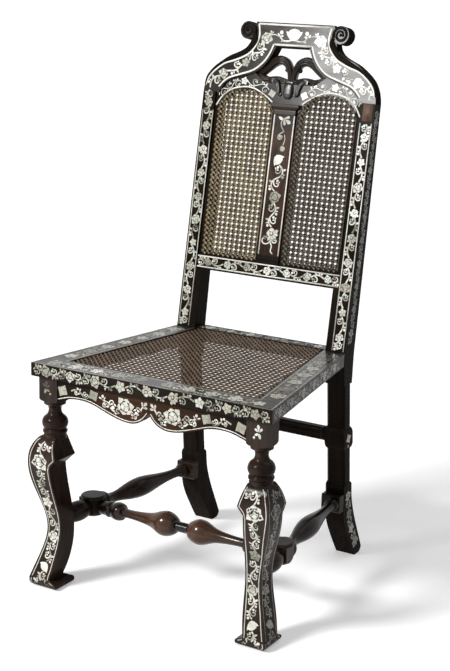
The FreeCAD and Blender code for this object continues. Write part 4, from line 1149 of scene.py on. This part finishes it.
class Carving:
    """Closed carved bands, gathered into one mesh."""

    def __init__(self):
        self.points = []
        self.faces = []

    def ring_skin(self, rings):
        """Joins rings of points into a closed skin with flat ends."""
        start = len(self.points)
        count = len(rings[0])
        for ring in rings:
            self.points.extend(ring)
        for row in range(len(rings) - 1):
            for place in range(count):
                one = start + row * count + place
                two = start + row * count + (place + 1) % count
                self.faces.append((one, two, two + count, one + count))
        self.faces.append(tuple(range(start, start + count))[::-1])
        self.faces.append(tuple(range(len(self.points) - count, len(self.points))))

    def band(self, path, widths, fronts, rear, reeds=3, hand=1, crown=0.3):
        """A band along a path (across, up), rounded and reeded in front and flat behind."""
        line = smooth(path, BAND_STEPS)
        rings = []
        steps = REEDED_STEPS if reeds > 1 else PLAIN_STEPS
        shares = [2 * step / steps - 1 for step in range(steps + 1)]
        for place, point in enumerate(line):
            before = line[max(place - 1, 0)]
            after = line[min(place + 1, len(line) - 1)]
            sideways = leftward(slope(before, after))
            width = value_along(widths, place / (len(line) - 1))
            front = value_along(fronts, place / (len(line) - 1))
            ring = []
            for across in shares:
                spot = point + sideways * (across * width / 2)
                dome = math.sqrt(max(1 - across * across, 0.0))
                reed = abs(math.sin(math.pi * reeds * (across + 1) / 2)) if reeds > 1 else 1.0
                depth = front + crown * width * (1 - dome) + REED_DEPTH * width * (1 - reed)
                ring.append(back_place(hand * spot.x, spot.y, min(depth, rear - 1)))
            for across in (1, -1):
                spot = point + sideways * (across * width / 2)
                ring.append(back_place(hand * spot.x, spot.y, rear))
            rings.append(ring)
        self.ring_skin(rings)

    def boss(self, x, v, w, radius, height):
        """A low dome that faces forward."""
        turns = [2 * math.pi * k / BOSS_SIDES for k in range(BOSS_SIDES)]
        rings = []
        for rise in (-0.4, 0.0, 0.45, 0.8, 0.98):
            reach = radius * math.sqrt(max(1 - rise * rise, 0.0)) if rise > 0 else radius
            rings.append([back_place(x + reach * math.cos(turn), v + reach * math.sin(turn),
                                     w - rise * height) for turn in turns])
        self.ring_skin(rings)

    def piece(self, name, finish=carved_wood):
        mesh = bpy.data.meshes.new(name)
        mesh.from_pydata(self.points, [], self.faces)
        shape = bmesh.new()
        shape.from_mesh(mesh)
        bmesh.ops.recalc_face_normals(shape, faces=shape.faces)
        shape.to_mesh(mesh)
        shape.free()
        for face in mesh.polygons:
            face.use_smooth = len(face.vertices) == 4
        mesh.materials.append(finish)
        return place_piece(name, mesh)


def crest_scrolls():
    """Pierced carving: two reeded C-scrolls on a stem over leaves, with curls beside a tongue."""
    carving = Carving()
    curls = Carving()
    for hand in (1, -1):
        carving.band([(3.5, 515), (4.5, 532), (7.5, 546), (16, 558.5), (30, 563.5), (45, 558.5), (58, 549),
                      (72, 541), (92, 535)],
                     [9, 10, 13, 16, 18.5, 19, 20, 24, 24], [8, 7, 6, 5, 5, 6, 7, 8, 9], 20, hand=hand)
        carving.band([(96, 534), (80, 527), (64, 522), (51, 521.5), (41, 523.5), (29, 524), (14, 521),
                      (4, 520)],
                     [18, 21, 20, 15, 14, 14, 12, 10], [9, 7, 6, 7, 6, 5, 6, 6], 20, hand=hand)
        carving.band([(98, 528), (78, 518), (60, 513), (40, 515), (20, 515), (0, 514)],
                     [18, 16, 14, 14, 14, 14], [10, 10, 10, 10, 9, 9], 20, 1, hand)
        curls.band([(42, 521), (33, 521), (26, 514.5), (22.5, 505), (21.5, 497), (17.5, 493.5), (14.8, 498)],
                   [7, 10, 11, 10, 9, 6, 3], [5, 2, -1, -1.5, -1.5, 0, 1.5], 5, 2, hand)
        carving.boss(hand * 15, 545, 16, 5, 3.0)
    curls.band([(0, 521), (0, 515), (0, 506), (0, 497), (0, 490), (0, 486)], [15, 20, 21.4, 21, 17, 9],
               [5, 1.5, -1.2, -1.6, -0.4, 1.5], 5, reeds=1, crown=0.13)
    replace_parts(carving.piece("crest_scrolls"), "crest_carving")
    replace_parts(curls.piece("crest_tongue", tongue_wood), "crest_carving")


VOLUTE_X = 105.0
VOLUTE_RISE = 618.0
VOLUTE_PROUD = -3.0
COIL_STEPS = 24
COIL_START = 205
COIL_TURN = 600
COIL_RADIUS = 16.3
COIL_CLOSING = 11.5
BEAD_FRONTS = [-0.4, -0.4]
BORDER_STEPS = 16
BORDER_REAR = 1.5
BORDER_OFF_STRING = 3.2


def crest_border():
    """Dark borders outside the yoke's strings, and beads that wind into the volutes round their eyes."""
    border = Carving()
    volutes = Carving()
    outer = [(194.8, 503), (190.1, 521.1), (176.1, 538), (155, 553), (130.7, 563.6), (105.5, 576.4),
             (92.8, 590.8), (87.5, 601)]
    outer_widths = [3.0, 4.4, 5.2, 6.0, 10.6, 12.4, 13.2, 12.0, 8.0]
    outer_fronts = [-0.9, -1.4, -1.6, VOLUTE_PROUD - 2.0]
    route = Route(CREST_INNER_STRING)
    inner = []
    for step in range(BORDER_STEPS + 1):
        point, heading = route.at(route.length * step / BORDER_STEPS)
        inner.append(point - BORDER_OFF_STRING * leftward(heading))
    coil = []
    for step in range(COIL_STEPS + 1):
        share = step / COIL_STEPS
        angle = math.radians(COIL_START - COIL_TURN * share)
        radius = COIL_RADIUS - COIL_CLOSING * share
        coil.append((VOLUTE_X + radius * math.cos(angle), VOLUTE_RISE + radius * math.sin(angle)))
    for half, v, width in ((40, 589.2, 2.4), (83, 634.9, 2.0)):
        border.band([(-half, v), (0, v), (half, v)], [width, width], BEAD_FRONTS, BORDER_REAR, 1)
    for hand in (1, -1):
        border.band(inner, [2.4, 2.4], BEAD_FRONTS, BORDER_REAR, 1, hand)
        border.band(outer + coil[:1], outer_widths, outer_fronts, BORDER_REAR, 1, hand, 0.15)
        volutes.band(coil, [6.2, 6.2, 5.4, 4.0], [VOLUTE_PROUD - 2.4, VOLUTE_PROUD - 1.8], 0, 1, hand)
        volutes.boss(hand * VOLUTE_X, VOLUTE_RISE, VOLUTE_PROUD + 0.6, 3.6, 2.6)
    border.piece("crest_border", border_wood)
    volutes.piece("crest_volutes", rail_wood)


def capital_mouldings():
    """The splat's capital: a slab over a hollow, a fillet and a lower slab."""
    carving = Carving()
    levels = [(455, 24.6, -2.6), (461.5, 25.4, -2.6), (461.5, 24.2, -1.0), (463, 24.4, -0.6), (466, 26, -1.4),
              (469, 29.5, -3.6), (470, 31.4, -4.6), (475.4, 31.4, -4.6), (476, 30.8, -4.0)]
    rings = [[back_place(-half, v, front), back_place(half, v, front), back_place(half, v, PANEL_RECESS),
              back_place(-half, v, PANEL_RECESS)] for v, half, front in levels]
    carving.ring_skin(rings)
    piece = carving.piece("capital_mouldings", capital_wood)
    for face in piece.data.polygons:
        face.use_smooth = False
    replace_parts(piece, "splat_capital")


PATCH_SIDES = (171.5, 192.5)
PATCH_ENDS = (455.5, 489)


def stile_patch():
    """A plain brown piece let into the right stile below the crest."""
    carving = Carving()
    rings = []
    for depth, inset in ((0.5, 0.0), (-0.15, 0.0), (-0.3, 0.4)):
        left, right = PATCH_SIDES[0] + inset, PATCH_SIDES[1] - inset
        low, high = PATCH_ENDS[0] + inset, PATCH_ENDS[1] - inset
        corners = ((left, low), (right, low), (right, high), (left, high))
        rings.append([back_place(x, v, depth) for x, v in corners])
    carving.ring_skin(rings)
    carving.piece("stile_patch", patch_wood)


crest_scrolls()
crest_border()
capital_mouldings()
stile_patch()


# View, floor and light
FLOOR_REACH = 40.0
FLOOR_GLOW = 0.34
WORLD_LIGHT = 0.19
WHITE = (1, 1, 1, 1)


def make_camera():
    data = bpy.data.cameras.new("camera")
    data.sensor_width = 36.0
    data.lens = FOCAL_PIXELS * data.sensor_width / IMAGE_HEIGHT
    camera = bpy.data.objects.new("camera", data)
    scene.collection.objects.link(camera)
    ahead = Vector((-math.sin(CAMERA_YAW) * math.cos(CAMERA_PITCH),
                    math.cos(CAMERA_YAW) * math.cos(CAMERA_PITCH), -math.sin(CAMERA_PITCH)))
    level = Vector((math.cos(CAMERA_YAW), math.sin(CAMERA_YAW), 0))
    rise = level.cross(ahead)
    across = math.cos(CAMERA_ROLL) * level + math.sin(CAMERA_ROLL) * rise
    upward = math.cos(CAMERA_ROLL) * rise - math.sin(CAMERA_ROLL) * level
    camera.matrix_world = Matrix((across, upward, -ahead)).transposed().to_4x4()
    camera.location = CAMERA_PLACE
    scene.camera = camera


def seen_rays(tree):
    """1 for rays that show the surroundings to the camera, also in polish."""
    path = add(tree, "ShaderNodeLightPath").outputs
    shown = maths(tree, "MAXIMUM", path["Is Camera Ray"], path["Is Glossy Ray"])
    return maths(tree, "MAXIMUM", shown, path["Is Transmission Ray"])


def make_floor():
    """A pale floor that keeps the chair's shadow."""
    mesh = bpy.data.meshes.new("floor")
    corners = [(x * FLOOR_REACH, y * FLOOR_REACH, 0) for x, y in ((-1, -1), (1, -1), (1, 1), (-1, 1))]
    mesh.from_pydata(corners, [], [(0, 1, 2, 3)])
    floor = bpy.data.objects.new("floor", mesh)
    scene.collection.objects.link(floor)
    material, tree, body = shader("pale_floor")
    fill(tree, body, {"Base Color": (0.86, 0.86, 0.86, 1), "Roughness": 0.6, "Emission Color": WHITE,
                      "Emission Strength": maths(tree, "MULTIPLY", seen_rays(tree), FLOOR_GLOW)})
    mesh.materials.append(material)


def make_world():
    world = bpy.data.worlds.new("studio")
    world.use_nodes = True
    tree = world.node_tree
    level = spread(tree, seen_rays(tree), 0.0, 1.0, WORLD_LIGHT, 1.0)
    fill(tree, tree.nodes["Background"], {"Color": WHITE, "Strength": level})
    scene.world = world


def lamp(name, kind, place, target, strength, spread_angle=0.0, size=1.0):
    data = bpy.data.lights.new(name, kind)
    data.energy = strength
    if kind == "SUN":
        data.angle = math.radians(spread_angle)
    else:
        data.shape = "DISK"
        data.size = size
    holder = bpy.data.objects.new(name, data)
    scene.collection.objects.link(holder)
    aim = (Vector(target) - Vector(place)).to_track_quat("-Z", "Y")
    holder.matrix_world = Matrix.Translation(place) @ aim.to_matrix().to_4x4()


scene.view_settings.view_transform = "Standard"
make_camera()
make_floor()
make_world()
lamp("key_light", "SUN", (-1.3, -2.26, 2.5), (0, 0, 0.4), 2.4, 13)
lamp("top_light", "SUN", (0.9, 1.4, 3.6), (0, 0, 0.4), 0.4, 40)
lamp("left_panel", "AREA", (-0.84, -1.76, 1.53), (0.1, 0.23, 0.98), 20, size=0.5)
